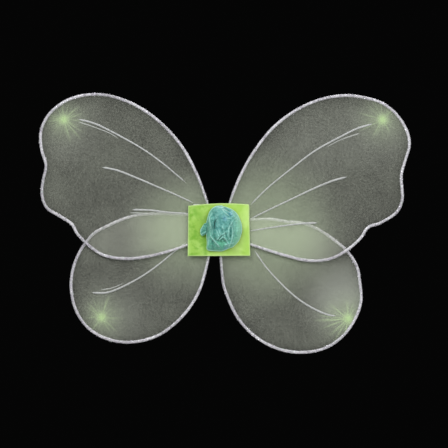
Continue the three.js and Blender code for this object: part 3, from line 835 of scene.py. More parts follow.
def hexagons(centres, normals, sizes, rng):
    """Six-sided flakes: each one is turned at random about its normal and lies square to it."""
    count = len(centres)
    helper = rng.normal(size=(count, 3))
    first = np.cross(normals, helper)
    first /= np.linalg.norm(first, axis=1, keepdims=True)
    second = np.cross(normals, first)
    turn = around(6)[..., None]
    ring = np.cos(turn) * first[:, None, :] + np.sin(turn) * second[:, None, :]
    points = (centres[:, None, :] + ring * sizes[:, None, None]).reshape(-1, 3)
    return points, [np.arange(count * 6).reshape(count, 6)]


def add_flakes(name, loop, plane, rng):
    """Flakes scattered over the coat, tilted out of its surface."""
    line = coat_line(loop)[5:-5]
    count = round(run_of(line)[-1] / FLAKE_SPACING)
    at = rng.integers(0, len(line), count)
    turn = rng.uniform(0, TURN, count)
    heading = headings(line)[at]
    aside = np.cos(turn)
    outward = joined(-heading[:, 1] * aside, -np.sin(turn), heading[:, 0] * aside)
    along = joined(heading[:, 0], 0.0, heading[:, 1])
    reach = np.hypot(COAT_HALF_WIDTH * aside, COAT_HALF_DEPTH * np.sin(turn))
    reach = reach * (0.90 + 0.05 * rng.random(count))
    centres = joined(line[at, 0], plane, line[at, 1])
    centres = centres + outward * reach[:, None] + along * rng.uniform(-0.4, 0.4, (count, 1)) * MM
    normals = outward + rng.normal(scale=0.35, size=(count, 3))
    normals /= np.linalg.norm(normals, axis=1, keepdims=True)
    flakes = hexagons(centres, normals, rng.uniform(*FLAKE_SIZES, count) * MM, rng)
    traits = {"tint": np.repeat(rng.random(count), 6)}
    piece = make_piece(name + "_rim_flakes", [flakes], GLITTER_FLAKE, traits=traits)
    return piece


def nylon_edge(loop):
    """The nylon's outline: the loop outside the trimmed core, closed along the core's two edges."""
    rim = outside_core(evenly(loop, 1.0 * MM, closed=True), NYLON_TUCK)
    corner = (HALF_SIZES - NYLON_TUCK) * np.sign(rim[0] + rim[-1])
    return evenly(np.vstack([rim, corner]), 2.0 * MM, closed=True)


def add_nylon(name, wing, loop, plane, layer):
    """One layer of the stocking: rings from the wing's heart out to the wire. It lies close to the
    wing's plane and climbs over the wire in the last few rings, with faint ripples from the root."""
    edge = nylon_edge(loop)
    heart = np.array(wing["heart"]) * span_of(wing)
    share = (np.arange(1, NYLON_RINGS + 1) / NYLON_RINGS)[:, None]
    flat = heart + share[:, :, None] * (edge - heart)
    pull = np.arctan2(flat[..., 1], np.abs(flat[..., 0]))
    ripple = 0.08 * MM * np.sin(pull * 34) * (1 - share**4)
    offset = NYLON_GAP + NYLON_RISE * share**9 + ripple
    front = layer == "front"
    y = plane + (-offset if front else offset)
    grid = joined(flat[..., 0], y, flat[..., 1])
    clockwise = outer_side(edge) > 0
    surface = lattice(grid, around=True, caps="first", flip=clockwise != front)
    rim_share = np.repeat(share, len(edge), axis=1)
    piece = make_piece(f"{name}_nylon_{layer}", [surface], NYLON, traits={"rim_share": rim_share})
    if front:
        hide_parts(name + "_nylon", name + "_nylon_root")
    size, area = tuple(np.ptp(edge, axis=0)), abs(double_area(edge)) / 2
    name + "_frame_wire"
    return piece


def add_vein(name, wing, places, plane, layer, width, height):
    """A bead of glitter glue: a low dome carried along the vein, full towards the tip and drawn out
    to nothing at both ends."""
    line = evenly(spline(np.array(places) * span_of(wing)), 0.9 * MM)
    run = run_of(line)
    taper = 0.62 + 0.38 * (run / run[-1])
    full = ease(-1 * MM, 9 * MM, run) * ease(-1 * MM, 5 * MM, run[-1] - run) * taper
    full = (full * (1 + 0.06 * np.sin(run * 900)))[:, None]
    turn = around(12)
    across = width / 2 * full * np.cos(turn)
    rise = height * full * np.where(np.sin(turn) > 0, np.sin(turn), 0.25 * np.sin(turn))
    forward = NYLON_GAP + rise
    tube = carried(line, plane, across, forward if layer == "front" else -forward)
    surface = lattice(tube, around=True, caps="first last", flip=layer == "rear")
    return make_piece(name, [surface], GLUE_VEIN)


def add_wing(name, wing, seed):
    """One wing: wire, coat, flakes, two layers of nylon and veins."""
    rng = np.random.default_rng(seed)
    loop, plane = wire_loop(wing), plane_of(name)
    if outer_side(loop) < 0:
        loop = loop[::-1]
    loop = np.roll(loop, -np.argmin(np.linalg.norm(loop - tip_of(wing), axis=1)), axis=0)
    pieces = [
        add_wire(name, loop, plane),
        add_coat(name, loop, plane, rng),
        add_flakes(name, loop, plane, rng),
        add_nylon(name, wing, loop, plane, "front"),
        add_nylon(name, wing, loop, plane, "rear"),
    ]
    for vein, places in wing["veins"].items():
        piece = add_vein(f"{name}_glue_vein_{vein}", wing, places, plane, "front", *FRONT_VEIN)
        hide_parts(f"{name}_vein_{vein}")
        pieces.append(piece)
    for vein, places in wing["rear_veins"].items():
        pieces.append(add_vein(f"{name}_rear_vein_{vein}", wing, places, plane, "rear", *REAR_VEIN))
    start, end = ((wing["side"] * fold, 0, 0) for fold in (FOLD_FROM, FOLD_TO))
    for piece in pieces:
        name + "_wing"
        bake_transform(piece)


for number, (wing_name, wing) in enumerate(WINGS.items()):
    add_wing(wing_name, wing, seed=20 + number)


# ---- the patch sandwich ----


def patch_grid(corners, bow, columns, rows):
    """A four-cornered cloth as shares of its width and height: straight sides between the corners,
    and a top edge that bows up by bow in the middle."""
    u = np.linspace(0, 1, columns)[None, :]
    v = np.linspace(0, 1, rows)[:, None]
    low_left, low_right, high_left, high_right = np.array(corners)[:, :, None, None]
    low = low_left * (1 - u) + low_right * u
    high = high_left * (1 - u) + high_right * u
    x, z = low * (1 - v) + high * v
    z = z + bow * 4 * u * (1 - u) * v**3
    border = np.minimum(np.minimum(u, 1 - u) * np.ptp(x), np.minimum(v, 1 - v) * np.ptp(z))
    return x, z, border + 0 * x


def turned_edge(border):
    """1 at the cloth's edge and fading to 0 inside its turned hem, where the finish paints a
    highlight.
    """
    return 1 - ease(0.6 * MM, 1.9 * MM, border)


def crease(x, z, start, end, width):
    """1 along a straight crease between two places and fading to 0 at width from it."""
    start, end = np.array(start), np.array(end)
    run = end - start
    share = np.clip(((x - start[0]) * run[0] + (z - start[1]) * run[1]) / (run @ run), 0, 1)
    away = np.hypot(x - start[0] - share * run[0], z - start[1] - share * run[1])
    return np.exp(-((away / width) ** 2))


# Darker stretches of the front patch: strength, start and end in X and Z, and width in millimetres.
PATCH_DARK_STRETCHES = [
    (0.85, ((-0.0310, 0.0250), (-0.029, 0.021)), 3.2),
    (0.80, ((-0.0300, -0.002), (-0.0295, -0.007)), 2.4),
    (0.40, ((-0.0200, 0.008), (-0.024, 0.020)), 3.0),
    (0.60, ((-0.0165, -0.007), (-0.0150, -0.013)), 1.8),
]


def add_front_patch():
    """Front patch: pillowed over the wires, pulled in at its turned edge, with soft creases."""
    corners = [(-0.0393, -0.0329), (0.0396, -0.0326), (-0.0386, 0.0304), (0.0379, 0.0322)]
    x, z, border = patch_grid(corners, 0.0022, 130, 110)
    full = ease(0, 7 * MM, border)
    turned = np.exp(-(((border - 1.1 * MM) / (0.8 * MM)) ** 2))
    sag = crease(x, z, (-0.0185, -0.008), (-0.0165, -0.031), 2.6 * MM)
    ridge = crease(x, z, (-0.0225, -0.012), (-0.0215, -0.031), 2.0 * MM)
    pucker = crease(x, z, (-0.030, 0.024), (-0.024, 0.010), 3.0 * MM)
    lean = crease(x, z, (0.020, -0.022), (0.038, -0.031), 2.4 * MM)
    wave = 0.10 * np.sin(x * 210 + 1.0) * np.sin(z * 180 + 0.4)
    creases = 0.5 * ridge - 0.45 * sag - 0.35 * pucker + 0.3 * lean
    lift = (0.35 * full + wave * full + 0.28 * turned + creases) * MM
    y = (PATCH_FACE + PATCH_REAR) / 2 - lift
    grid = joined(x, y, z)
    dark_stretches = sum(share * crease(x, z, *stretch, width * MM) for share, stretch, width in PATCH_DARK_STRETCHES)
    # dip: painted shade in the sag crease, plus the darker stretches; edge_share: where the edge
    # highlight is painted.
    traits = {"edge_share": turned_edge(border), "dip": np.clip(0.85 * sag + dark_stretches, 0, 1)}
    piece = make_piece("front_patch_cloth", [lattice(grid)], FRONT_CLOTH, traits=traits)
    thicken(piece, FRONT_CLOTH_THICKNESS)
    settle(piece, "green_fabric", "front_patch")


def add_back_patch():
    """Back patch: flat where it lies on the wearer, with a low turned edge and a stitched dip."""
    low, high = back_low, back_high
    corners = [(low[0], low[2]), (high[0], low[2]), (low[0], high[2]), (high[0], high[2])]
    x, z, border = patch_grid(corners, 0.0, 120, 96)
    stitched = np.exp(-(((border - STITCH_INSET) / (0.9 * MM)) ** 2))
    wave = 0.05 * np.sin(x * 240) * np.sin(z * 260 + 1)
    y = -0.5 * MM - (0.22 * stitched + 0.12 * (1 - ease(0, 1.4 * MM, border)) + wave) * MM
    grid = joined(x, y, z)
    # dip: painted shade along the stitched groove; edge_share: where the edge highlight is painted.
    traits = {"edge_share": turned_edge(border), "dip": 0.35 * stitched}
    piece = make_piece("back_patch_cloth", [lattice(grid, flip=True)], BACK_CLOTH, traits=traits)
    thicken(piece, BACK_CLOTH_THICKNESS)
    settle(piece, "green_fabric", "back_patch")


def bars(starts, ends, thickness):
    """Short rounded threads from each start to each end: a seven-sided section that swells in the
    middle and closes at both ends. One grid for each thread, as whole arrays."""
    share = np.linspace(0, 1, 7)[None, :, None, None]
    axis = ends - starts
    length = np.linalg.norm(axis, axis=1, keepdims=True)
    axis = axis / length
    side = np.cross(axis, [0.0, 1.0, 0.0])
    side /= np.linalg.norm(side, axis=1, keepdims=True)
    out = np.cross(axis, side)
    turn = around(7)[None, ..., None]
    swell = thickness / 2 * np.sqrt(np.clip(1 - (2 * share - 1) ** 4, 0.02, 1))
    line = starts[:, None, None, :] + (ends - starts)[:, None, None, :] * share
    ring = np.cos(turn) * side[:, None, None, :] + np.sin(turn) * out[:, None, None, :]
    grids = line + swell * ring
    return [lattice(grid, around=True, caps="first last") for grid in grids]


def add_bartack(side_name, end_name):
    """A bartack: parallel stitches side by side across the strap's end, through the back patch."""
    side = -1 if side_name == "left" else 1
    up = 1 if end_name == "top" else -1
    x = side * STRAP_X + np.linspace(-1, 1, BARTACK_STITCHES) * BARTACK_HALF_WIDTH
    slant = 0.12 * MM * (-1.0) ** np.arange(x.size)
    surfaces = []
    for y in (-0.06 * MM, CARD_FACE - 0.15 * MM):
        starts, ends = (
            joined(x + way * slant, y, up * BARTACK_Z + way * BARTACK_HALF_HEIGHT) for way in (-1, 1)
        )
        surfaces += bars(starts, ends, BARTACK_THICKNESS)
    piece = make_piece(f"{side_name}_bartack_{end_name}_thread", surfaces, THREAD)
    settle(piece, "thread", f"{side_name}_bartack_{end_name}")


def add_back_stitches():
    """Running stitches round the back patch, a stitch and a gap at a time."""
    x, z = back_high[0] - STITCH_INSET, HALF_BACK - STITCH_INSET
    corner = 2.0 * MM
    path = spline([
        (-x + corner, z), (0, z), (x - corner, z), (x, z - corner), (x, 0), (x, -z + corner),
        (x - corner, -z), (0, -z), (-x + corner, -z), (-x, -z + corner), (-x, 0), (-x, z - corner),
    ], steps=30, closed=True)
    line = evenly(path, STITCH_LENGTH, closed=True)
    line = line[: len(line) // 2 * 2]
    places = joined(line[:, 0], -0.22 * MM, line[:, 1])
    stitches = bars(places[0::2], places[1::2], STITCH_THICKNESS)
    settle(make_piece("back_patch_stitches", stitches, THREAD), "thread")


def add_tape(name):
    """A strip of cloth tape over the wires: it lies flat on them and rounds down to the card at
    both ends."""
    low, high = corners_of(name)
    wide, deep, tall = high - low
    wide_x = wide > tall
    length, width = max(wide, tall), min(wide, tall)
    s = np.linspace(-0.5, 0.5, 60)[:, None] * (length - 0.6 * MM)
    t = np.linspace(-0.5, 0.5, 12)[None, :] * width
    drop = deep - 0.5 * MM
    down = 1 - ease(0, 3.0 * MM, length / 2 - 0.3 * MM - np.abs(s))
    ripple = 0.05 * MM * np.sin(s * 900) * np.cos(t * 500)
    y = low[1] + 0.3 * MM + drop * down + ripple
    centre = (low + high) / 2
    right, up = (s, t) if wide_x else (t, s)
    grid = joined(centre[0] + right, y, centre[2] + up)
    piece = make_piece(name + "_strip", [lattice(grid, flip=wide_x)], TAPE)
    thicken(piece, TAPE_THICKNESS)
    settle(piece, "tape", name)


add_front_patch()
add_back_patch()
add_back_stitches()
for strap_side in ("left", "right"):
    for strap_end in ("top", "bottom"):
        add_bartack(strap_side, strap_end)
for tape_place in ("left", "right", "top", "bottom"):
    add_tape(f"wire_tape_{tape_place}")


# ---- shoulder straps ----


def strap_line():
    """The strap's centre line in Y and Z, from its top tab round the loop to its bottom tab."""
    edge = HALF_BACK + CLEARANCE
    crown = edge + STRAP_BEND_RADIUS
    bend_y = STRAP_Y + STRAP_BEND_RADIUS
    half = STRAP_BEND_RADIUS * math.sqrt(0.5)
    turn_out = [(STRAP_Y, edge), (bend_y - half, edge + half), (bend_y, crown)]
    sweep = [
        (0.08, 1.00), (0.30, 0.97), (0.58, 0.86), (0.82, 0.62), (0.96, 0.26), (1.00, -0.12),
        (0.96, -0.50), (0.84, -0.80), (0.62, -0.96), (0.34, -1.00), (0.08, -1.00),
    ]
    loop = turn_out + [(back * STRAP_REACH, up * crown) for back, up in sweep]
    loop += [(y, -z) for y, z in reversed(turn_out)]
    tab_end = HALF_BACK - STRAP_TAB
    tabs = [(STRAP_Y, tab_end), (STRAP_Y, (tab_end + edge) / 2)]
    places = tabs + loop + [(y, -z) for y, z in reversed(tabs)]
    return spline(places, steps=16)


def add_strap(side_name, x):
    """Knitted elastic: a flat section with rounded edges and five low ribs, carried along the
    strap's line."""
    line = evenly(strap_line(), 1.3 * MM)
    heading = headings(line)
    turn = around(40)
    across = STRAP_HALF_WIDTH * np.sign(np.cos(turn)) * np.abs(np.cos(turn)) ** 0.45
    ribs = 1 - 0.14 * np.cos(across / STRAP_HALF_WIDTH * math.pi * 5) ** 2
    lift = 0.48 * MM * np.sign(np.sin(turn)) * np.abs(np.sin(turn)) ** 0.55 * ribs
    y = line[:, :1] - heading[:, 1:] * lift
    z = line[:, 1:] + heading[:, :1] * lift
    grid = joined(x + across, y, z)
    lay = joined(run_of(line)[:, None], across)
    surface = lattice(grid, around=True, caps="first last", flip=True)
    piece = make_piece(f"{side_name}_elastic", [surface], ELASTIC, lay=lay)
    tabs = [f"{side_name}_strap_tab_{end}" for end in ("top", "bottom")]
    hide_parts(f"{side_name}_strap", *tabs)
    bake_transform(piece)


add_strap("left", -STRAP_X)
add_strap("right", STRAP_X)


# ---- the ribbon rose ----

# Every place on the rose is [right, up, forwards] in millimetres from the middle of its rear.


def on_rose(places):
    """Rose millimetres to metres in the model's own axes."""
    right, up, forwards = np.moveaxis(np.asarray(places, float) * MM, -1, 0)
    return joined(ROSE_CENTRE[0] + right, ROSE_REAR - forwards, ROSE_CENTRE[1] + up)


# Folds over the whole rose: places along each one, its height and its width. A rising fold catches
# light and is also painted paler as a highlight; a sinking one is dark and is painted with shade.
ROSE_FOLDS = [
    ([(-12.0, 8.6), (-12.2, 5.0), (-12.6, 1.0)], -1.2, 1.8),
    ([(-12.0, 11.0), (-12.2, 6.5), (-14.2, 0.8), (-13.8, -6), (-10.8, -12)], -0.8, 1.6),
    ([(-18.6, 15.5), (-18.0, 9), (-16.9, 3.6)], 1.5, 1.0),
    ([(-16.9, 3.6), (-14.9, -1.0), (-14.7, -6.5)], 1.2, 0.8),
    ([(-20.6, 10.0), (-21.0, 2.0), (-20.8, -5.0)], -1.1, 1.0),
    ([(-16.8, -8.9), (-12.5, -14.5), (-6.4, -21.8)], 1.7, 0.9),
    ([(-18.6, -10.0), (-20.0, -20.0)], 0.9, 0.9),
    ([(-8.4, -13.2), (-3.6, -8.2), (0.6, -5.0)], 1.3, 0.9),
    ([(2.8, -2.2), (4.0, 1.4)], -0.9, 1.2),
    ([(-5.8, -13.4), (-1.4, -10.0), (2.6, -13.0), (5.2, -18.5)], 1.6, 0.8),
    ([(-5.6, -10.9), (-2.6, -7.9)], -1.3, 0.8),
    ([(10.4, 9.4), (8.0, 4.2), (5.8, -0.6), (5.0, -8.0), (6.4, -13.5)], 1.6, 0.8),
    ([(6.4, -2.2), (6.2, -7.0), (7.2, -12.0)], 1.3, 0.7),
    ([(2.4, -6.4), (3.0, -10.0)], -1.5, 0.9),
    ([(11.4, -4.0), (10.2, -11.5), (8.6, -16.8), (6.2, -21.5)], 1.6, 0.8),
    ([(8.6, 1.5), (8.8, -5), (7.6, -11)], -1.4, 0.9),
    ([(-2.0, -12.2), (-4.4, -14.8)], -1.1, 1.1),
    ([(-1.4, -12.4), (1.6, -15.6)], -0.8, 1.0),
    ([(-1.6, 23.4), (1.6, 19.8), (5.4, 17.2)], 1.6, 0.8),
    ([(0.6, 27.0), (3.6, 24.6), (6.4, 22.6)], -1.9, 1.1),
    ([(5.2, 19.8), (8.4, 16.0)], -1.0, 1.0),
    ([(-7.6, 26.6), (-2.6, 26.8), (2.0, 28.0)], 1.3, 0.9),
    ([(9.8, 22.6), (14.5, 17.4), (17.2, 11.6)], 1.1, 0.9),
    ([(12.2, 20.6), (15.4, 16.2)], -1.0, 0.8),
    ([(-14.8, 23.0), (-12.6, 16.0)], -0.8, 1.2),
    ([(13.0, 12.0), (14.8, 4.0), (14.6, -4.0)], -0.6, 1.6),
    ([(13.6, -5.5), (15.0, -9.0)], -1.2, 1.5),
    ([(-14.6, -15.0), (-14.2, -18.5)], -1.3, 1.5),
    ([(-14.4, -22.0), (-13.8, -25.0)], -1.5, 1.5),
    ([(-9.0, 16.0), (-7.4, 4.0)], 0.6, 2.6),
    ([(0.6, 14.4), (-1.4, 9.4), (1.4, 4.4)], -0.9, 1.2),
    ([(3.4, 13.6), (7.0, 13.0)], 0.9, 0.8),
    ([(-9.4, -2.0), (-6.6, -9.0)], 0.8, 0.8),
    ([(-6.8, -0.6), (-4.8, -6.4)], 0.8, 0.8),
    ([(-4.6, 1.4), (-1.2, -4.6)], -0.9, 0.9),
    ([(-2.4, 3.6), (-0.8, 0.4)], 0.9, 0.8),
    ([(2.0, -20.0), (12.0, -17.5)], 0.7, 1.0),
    ([(-26.6, 4.6), (-29.2, -1.4), (-29.3, -3.6)], 1.3, 0.8),
    ([(-29.0, -7.6), (-25.6, -5.2), (-22.6, -3.6)], 1.3, 0.7),
    ([(-28.0, -4.6), (-25.0, -2.6)], -1.0, 1.1),
]
# Round patches on the rose: their centres and their size. The first is a bluish tint, the second
# painted shade and the third a painted pool of light.
ROSE_TINTS = {
    "blue": ([(0.8, 13.3), (8.9, 19.4), (3.0, -25.0)], 3.0),
    "shade": ([(-7.0, 14.5), (-6.6, 7.5), (-7.5, 1.0)], 4.8),
    "painted_glow": ([(-1.0, -18.5), (-4.6, -17.0)], 3.6),
}
# The rose's ribbons, from the outside in: the line each one is gathered on, the line of its free
# edge, and how it is shaped between them.
RIBBONS = {
    "rose_outer_right": {
        "foot": [(-3, 16, 15), (6, 13, 15), (9.5, 4, 14), (9.5, -6, 13), (5, -14, 11), (0, -17, 9)],
        "lip": [(-4.3, 29.7, 2), (5.8, 26.6, 2.4), (13.2, 22.9, 2.8), (18.9, 15.0, 3),
                (22.4, 5.3, 3.2), (22.7, -2.5, 3.2), (21.2, -8.9, 3), (18.4, -15.1, 2.8),
                (11.6, -22.6, 2.4), (5.8, -24.8, 2), (0.3, -26.2, 1.8)],
        "bulge": 3.6, "curl": 1.0, "ruffle": 0.35, "crisp": 1.3, "replaced": ["rose_outer_ribbon"],
    },
    "rose_outer_left": {
        "foot": [(3, -15, 9), (-5, -14, 10), (-11, -9, 10), (-12.5, 0, 11), (-11.5, 10, 12),
                 (-5, 17, 13)],
        "lip": [(5.8, -24.9, 1.8), (-3.2, -28.0, 1.6), (-12, -27.9, 1.5), (-21.4, -26.1, 1.5),
                (-21.5, -17.3, 2), (-22.2, -8.0, 2.6), (-22.4, 5.6, 3), (-20.2, 16.6, 3),
                (-16.5, 24.6, 2.8), (-10, 28.9, 2.4), (-2, 29.9, 2)],
        "bulge": 2.6, "curl": 0.8, "ruffle": 0.5, "crisp": 2.0,
    },
    "rose_left_fold": {
        "foot": [(-11.4, 19.5, 10), (-12.2, 12, 9), (-12.6, 5, 8), (-14.2, -1, 8), (-13.2, -7, 8),
                 (-9, -14, 8), (-4, -20, 7)],
        "lip": [(-15.5, 20.5, 10), (-18.2, 13.8, 13), (-17.4, 4.2, 14.5), (-17.6, -3, 14),
                (-17.0, -9.0, 13), (-12.0, -15.5, 12), (-6.4, -21.6, 10)],
        "bulge": 1.0, "curl": -0.6, "ruffle": 0.35, "replaced": ["rose_middle_ribbon"],
    },
    "rose_crown": {
        "foot": [(-12.0, 21.5, 9.5), (-13.0, 13, 8.8), (-13.6, 4, 8.4), (-14.6, -4, 8.4),
                 (-12.5, -10.5, 9), (-9.5, -14.5, 9.5)],
        "lip": [(-2.0, 24.5, 9), (2.0, 19.6, 13.0), (7.5, 15.5, 13.8), (10.0, 8.6, 14.0),
                (6.4, 0.6, 14.0), (1.6, -4.0, 13.9), (-7.2, -12.4, 12.2)],
        "bulge": 4.2, "curl": 0.5, "ruffle": 0.35, "crisp": 2.0,
    },
    "rose_tent_left": {
        "foot": [(-8.0, -13.5, 11), (-4.5, -16.5, 9), (-5.5, -20, 7.5), (-6.6, -23.5, 6)],
        "lip": [(-6.5, -12.0, 13), (-1.5, -10.8, 14), (-1.0, -12.5, 13.6), (-2.0, -18.0, 9)],
        "bulge": 0.8, "curl": 0.3, "ruffle": 0.2,
    },
    "rose_tent_right": {
        "foot": [(4.5, -2.5, 12), (5.5, -10, 11), (5.5, -16, 9), (4.0, -22, 6)],
        "lip": [(2.2, -4.2, 15.2), (0.2, -9.8, 14.8), (1.8, -14.5, 12.6), (3.0, -20.0, 8.6)],
        "bulge": 0.8, "curl": 0.3, "ruffle": 0.2,
    },
    "rose_right_fold": {
        "foot": [(5.0, 8.5, 12), (5.8, -2, 11), (6.0, -11, 10), (4.5, -21, 7)],
        "lip": [(9.8, 8.0, 16.5), (11.2, -4.8, 15.5), (9.6, -15.1, 13), (6.8, -21.2, 9)],
        "bulge": 0.8, "curl": 0.6, "ruffle": 0.25,
    },
    "rose_top_fold": {
        "foot": [(-5.0, 18.0, 12), (3.5, 15.5, 13), (9.5, 10, 13), (12.0, 3, 12)],
        "lip": [(-2.5, 25.6, 9), (5.0, 22.5, 12), (12.0, 18.0, 13), (16.0, 9.0, 12)],
        "bulge": 1.6, "curl": 0.8, "ruffle": 0.5,
    },
    "rose_tail_loop": {
        "foot": [(-20.5, 8.5, 3.0), (-20.2, 3, 3.0), (-20.6, -1.5, 3.0), (-21.5, -5.5, 2.4)],
        "lip": [(-24.4, 7.0, 1.2), (-27.6, 2.8, 0.8), (-29.9, -1.8, 0.6), (-29.4, -6.5, 0.5),
                (-27.4, -9.0, 0.4)],
        "bulge": 1.0, "curl": 0.1, "ruffle": 0.2, "replaced": ["rose_tail"],
    },
}
CRINKLE_SIZE = 4.4
MEAN_OF_FOLDED_SINE = 0.6366


def away_from_line(x, y, places):
    """Distance to a broken line: the least of the distances to its stretches."""
    starts, ends = np.array(places[:-1], float), np.array(places[1:], float)
    run = ends - starts
    right, up = x[..., None] - starts[:, 0], y[..., None] - starts[:, 1]
    share = np.clip((right * run[:, 0] + up * run[:, 1]) / (run**2).sum(axis=1), 0, 1)
    return np.hypot(right - share * run[:, 0], up - share * run[:, 1]).min(axis=-1)


def crumple(x, y, size, seed):
    """Crisp crinkles: the mean of slanted waves folded at zero, each bent by another wave."""
    rng = np.random.default_rng(seed)
    total = 0 * x
    for slant in rng.permutation(8) * math.pi / 8:
        across = (x * math.cos(slant) + y * math.sin(slant)) / (size * rng.uniform(0.7, 1.5))
        along = (y * math.cos(slant) - x * math.sin(slant)) / (size * rng.uniform(1.5, 2.5))
        bend = 1.1 * np.sin(TURN * along / 2 + rng.uniform(0, TURN))
        total += np.abs(np.sin(math.pi * across + bend))
    return total / 8 - MEAN_OF_FOLDED_SINE


def folded(grid, seed, crisp=3.0):
    """Moves a rose surface by the folds, and by crinkles crisp millimetres deep, and says where it is
    ridge or crest (for painted highlight), dip (for painted shade) or in a round patch (a tint,
    painted shade or painted light)."""
    x, y = grid[..., 0], grid[..., 1]
    crinkle = crumple(x, y, CRINKLE_SIZE, seed)
    lift, ridge, dip = crinkle * crisp, 0 * x, 0 * x
    for places, height, width in ROSE_FOLDS:
        near = np.exp(-((away_from_line(x, y, places) / width) ** 2))
        lift = lift + height * near
        if height > 0:
            ridge = np.maximum(ridge, near)
        else:
            dip = np.maximum(dip, near * -height / 2)
    grid[..., 2] += lift
    tints = {}
    for tint, (spots, size) in ROSE_TINTS.items():
        shares = (np.exp(-((x - right) ** 2 + (y - up) ** 2) / size**2) for right, up in spots)
        tints[tint] = np.clip(sum(shares), 0, 1)
    return {"ridge": ridge, "dip": np.clip(dip, 0, 1), "crest": ease(0.06, 0.20, crinkle), **tints}


def ribbon_grid(foot, lip, bulge, curl, ruffle, seed, rows=36, columns=120):
    """A ribbon between a foot line and a lip line. Between them it stands out by a half sine times
    bulge; its last part curls back by curl; ruffles grow towards the lip."""
    rng = np.random.default_rng(seed)
    foot_line, lip_line = (on_even(line, columns) for line in (foot, lip))
    v = np.linspace(0, 1, rows)[:, None, None]
    grid = foot_line[None] * (1 - v) + lip_line[None] * v
    u = np.linspace(0, 1, columns)[None, :]
    share = v[..., 0]
    grid[..., 2] += bulge * np.sin(math.pi * share) - curl * ease(0.72, 1.0, share) ** 2
    outward = lip_line - foot_line
    outward = outward / np.linalg.norm(outward, axis=1, keepdims=True)
    waves = sum(np.sin(u * k + rng.uniform(0, TURN)) for k in (17, 29, 46)) / 3
    grid[..., 2] += ruffle * waves * share**1.5
    grid[..., :2] += 0.5 * ruffle * (np.roll(waves, 4) * share**2)[..., None] * outward[None, :, :2]
    return grid


def on_even(places, count):
    """A spline through the places, cut into count evenly spaced points."""
    line = spline(places, steps=24)
    run = run_of(line)
    at = np.linspace(0, run[-1], count)
    return np.stack([np.interp(at, run, line[:, k]) for k in range(3)], axis=1)


def add_ribbon(name, foot, lip, bulge, curl, ruffle, seed, crisp=2.6, replaced=()):
    """One gathered ribbon. Its cloth map runs along its lip and across its mean width."""
    grid = ribbon_grid(foot, lip, bulge, curl, ruffle, seed)
    traits = folded(grid, seed, crisp)
    placed = on_rose(grid)
    long = run_of(placed[-1])[None, :]
    wide = np.mean(np.linalg.norm(np.diff(placed, axis=0), axis=-1).sum(axis=0))
    v = np.linspace(0, 1, len(grid))[:, None]
    lay = joined(long, v * wide)
    # Share from foot to lip: the lip's woven edge, which the finish also paints with a highlight.
    traits["hem"] = v + 0 * long
    piece = make_piece(name, [lattice(placed)], ORGANZA, lay=lay, traits=traits)
    thicken(piece, RIBBON_THICKNESS)
    settle(piece, "ribbon", *replaced)


def add_heart():
    """The rose's crumpled middle: a mound that falls away with the cube of its radius, pinched into
    folds that wind round."""
    share = np.linspace(0, 1, 40)[:, None]
    turn = around(120)
    wind = turn + 2.4 * share
    folds = 0.9 * np.sin(wind * 5 + 0.6) + 0.6 * np.sin(wind * 9 + 2.0) + 0.3 * np.sin(wind * 17)
    radius = share * (18.5 + 1.2 * np.sin(turn * 3 + 1))
    high = 14.0 * (1 - share**3) + folds * share * (1 - share**3) * 0.5 + 0.3
    places = joined(radius * np.cos(turn), 1.25 * radius * np.sin(turn), high)
    traits = folded(places, 11)
    lay = joined(radius * MM, turn * 0.012)
    surface = lattice(on_rose(places)[1:], around=True, caps="first", flip=True)
    traits = {trait: values[1:] for trait, values in traits.items()}
    piece = make_piece("rose_heart", [surface], ORGANZA, lay=lay[1:], traits=traits)
    thicken(piece, RIBBON_THICKNESS)
    settle(piece, "ribbon", "rose_bud")


def add_glue_pad():
    """The glue under the rose: a flattened blob with an uneven rim."""
    radius = (glue_high[0] - glue_low[0]) / 2
    share = np.linspace(0, 1, 14)[1:, None]
    turn = around(64)
    reach = radius * (0.93 + 0.04 * np.sin(turn * 3 + 1) + 0.03 * np.sin(turn * 7))
    half = (glue_high[1] - glue_low[1]) / 2
    middle = (glue_high[1] + glue_low[1]) / 2
    rise = half * np.sqrt(1 - share**4)
    x, z = (ROSE_CENTRE[k] + reach * share * wave(turn) for k, wave in ((0, np.cos), (1, np.sin)))
    front = joined(x, middle - rise, z)
    rear = joined(x, middle + rise, z)[::-1][1:]
    grid = np.vstack([front, rear])
    surface = lattice(grid, around=True, caps="first last", flip=True)
    settle(make_piece("rose_glue_blob", [surface], GLUE), "glue", "rose_glue_pad")


add_heart()
for ribbon_number, (ribbon_name, ribbon_shape) in enumerate(RIBBONS.items(), start=1):
    add_ribbon(ribbon_name, seed=ribbon_number, **ribbon_shape)
add_glue_pad()


# ---- carried-over nodes ----

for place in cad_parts["stiffener_card"].material_slots:
    place.material = CARD


# ---- floor, light and camera ----


FLOOR_RADIUS = 0.42
FLOOR_Z = -0.42
SKY_STRENGTH = 0.42
BACKDROP_STRENGTH = 0.0016  # what the camera sees behind the wings
CAMERA_AWAY = 2.5
CAMERA_X, CAMERA_Z = 0.0065, 0.0076
FRAME_WIDTH = 0.569  # at the wings
SENSOR_WIDTH = 36
# Disk lights aimed at the middle of the patch: place, size and power.
LIGHTS = {
    "key_light": ((-0.9, -1.7, 1.5), 1.7, 42),
    "fill_light": ((1.3, -1.6, 0.5), 1.7, 21),
    "back_light": ((0.4, 1.8, 1.2), 1.3, 24),
}


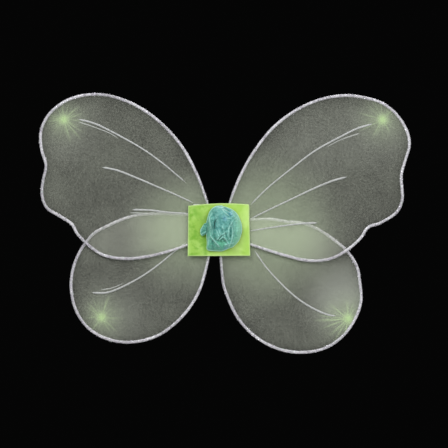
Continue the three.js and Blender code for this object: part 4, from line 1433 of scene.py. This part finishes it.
def add_floor():
    """A round pale floor below the wings, where they hang clear of it."""
    share = np.linspace(0, 1, 6)[1:, None]
    turn = around(96)
    x, y = (FLOOR_RADIUS * share * wave(turn) for wave in (np.cos, np.sin))
    grid = joined(x, y, FLOOR_Z)
    pale = Finish("pale_floor", Roughness=0.9)
    where = pale.where()
    pale.set(Base_Color=pale.mix((0.62, 0.61, 0.60), (0.70, 0.69, 0.68), pale.noise(where, 9.0)))
    surface = lattice(grid, around=True, caps="first", flip=True)
    make_piece("floor", [surface], pale.material)


def add_light(name, place, size, power):
    """A disk light turned to face the model's origin."""
    lamp = bpy.data.lights.new(name, "AREA")
    lamp.shape = "DISK"
    lamp.size = size
    lamp.energy = power
    holder = bpy.data.objects.new(name, lamp)
    holder.location = place
    x, y, z = place
    holder.rotation_euler = (math.atan2(math.hypot(x, y), z), 0, math.atan2(x, -y))
    bpy.context.scene.collection.objects.link(holder)


def add_world():
    """Soft light from all round; behind the wings it is dark, so the sheer nylon reads."""
    world = bpy.data.worlds.new("studio")
    bpy.context.scene.world = world
    world.use_nodes = True
    tree = world.node_tree
    ray = tree.nodes.new("ShaderNodeLightPath")
    strength = tree.nodes.new("ShaderNodeMapRange")
    strength.inputs["To Min"].default_value = SKY_STRENGTH
    strength.inputs["To Max"].default_value = BACKDROP_STRENGTH
    tree.links.new(ray.outputs["Is Camera Ray"], strength.inputs["Value"])
    background = tree.nodes["Background"]
    background.inputs["Color"].default_value = (0.97, 1.0, 0.98, 1)
    tree.links.new(strength.outputs[0], background.inputs["Strength"])


def add_camera():
    """A long lens, level and straight at the front. Its length is the sensor's width by the camera's
    distance over the width of the frame at the wings."""
    lens = bpy.data.cameras.new("camera")
    lens.sensor_width = SENSOR_WIDTH
    lens.lens = SENSOR_WIDTH * CAMERA_AWAY / FRAME_WIDTH
    lens.clip_start = 0.1
    lens.clip_end = 20
    camera = bpy.data.objects.new("camera", lens)
    camera.location = (CAMERA_X, -CAMERA_AWAY, CAMERA_Z)
    camera.rotation_euler = (math.pi / 2, 0, 0)
    bpy.context.scene.collection.objects.link(camera)
    bpy.context.scene.camera = camera


add_floor()
for light_name, light in LIGHTS.items():
    add_light(light_name, *light)
add_world()
add_camera()
bpy.context.scene.view_settings.view_transform = "Standard"
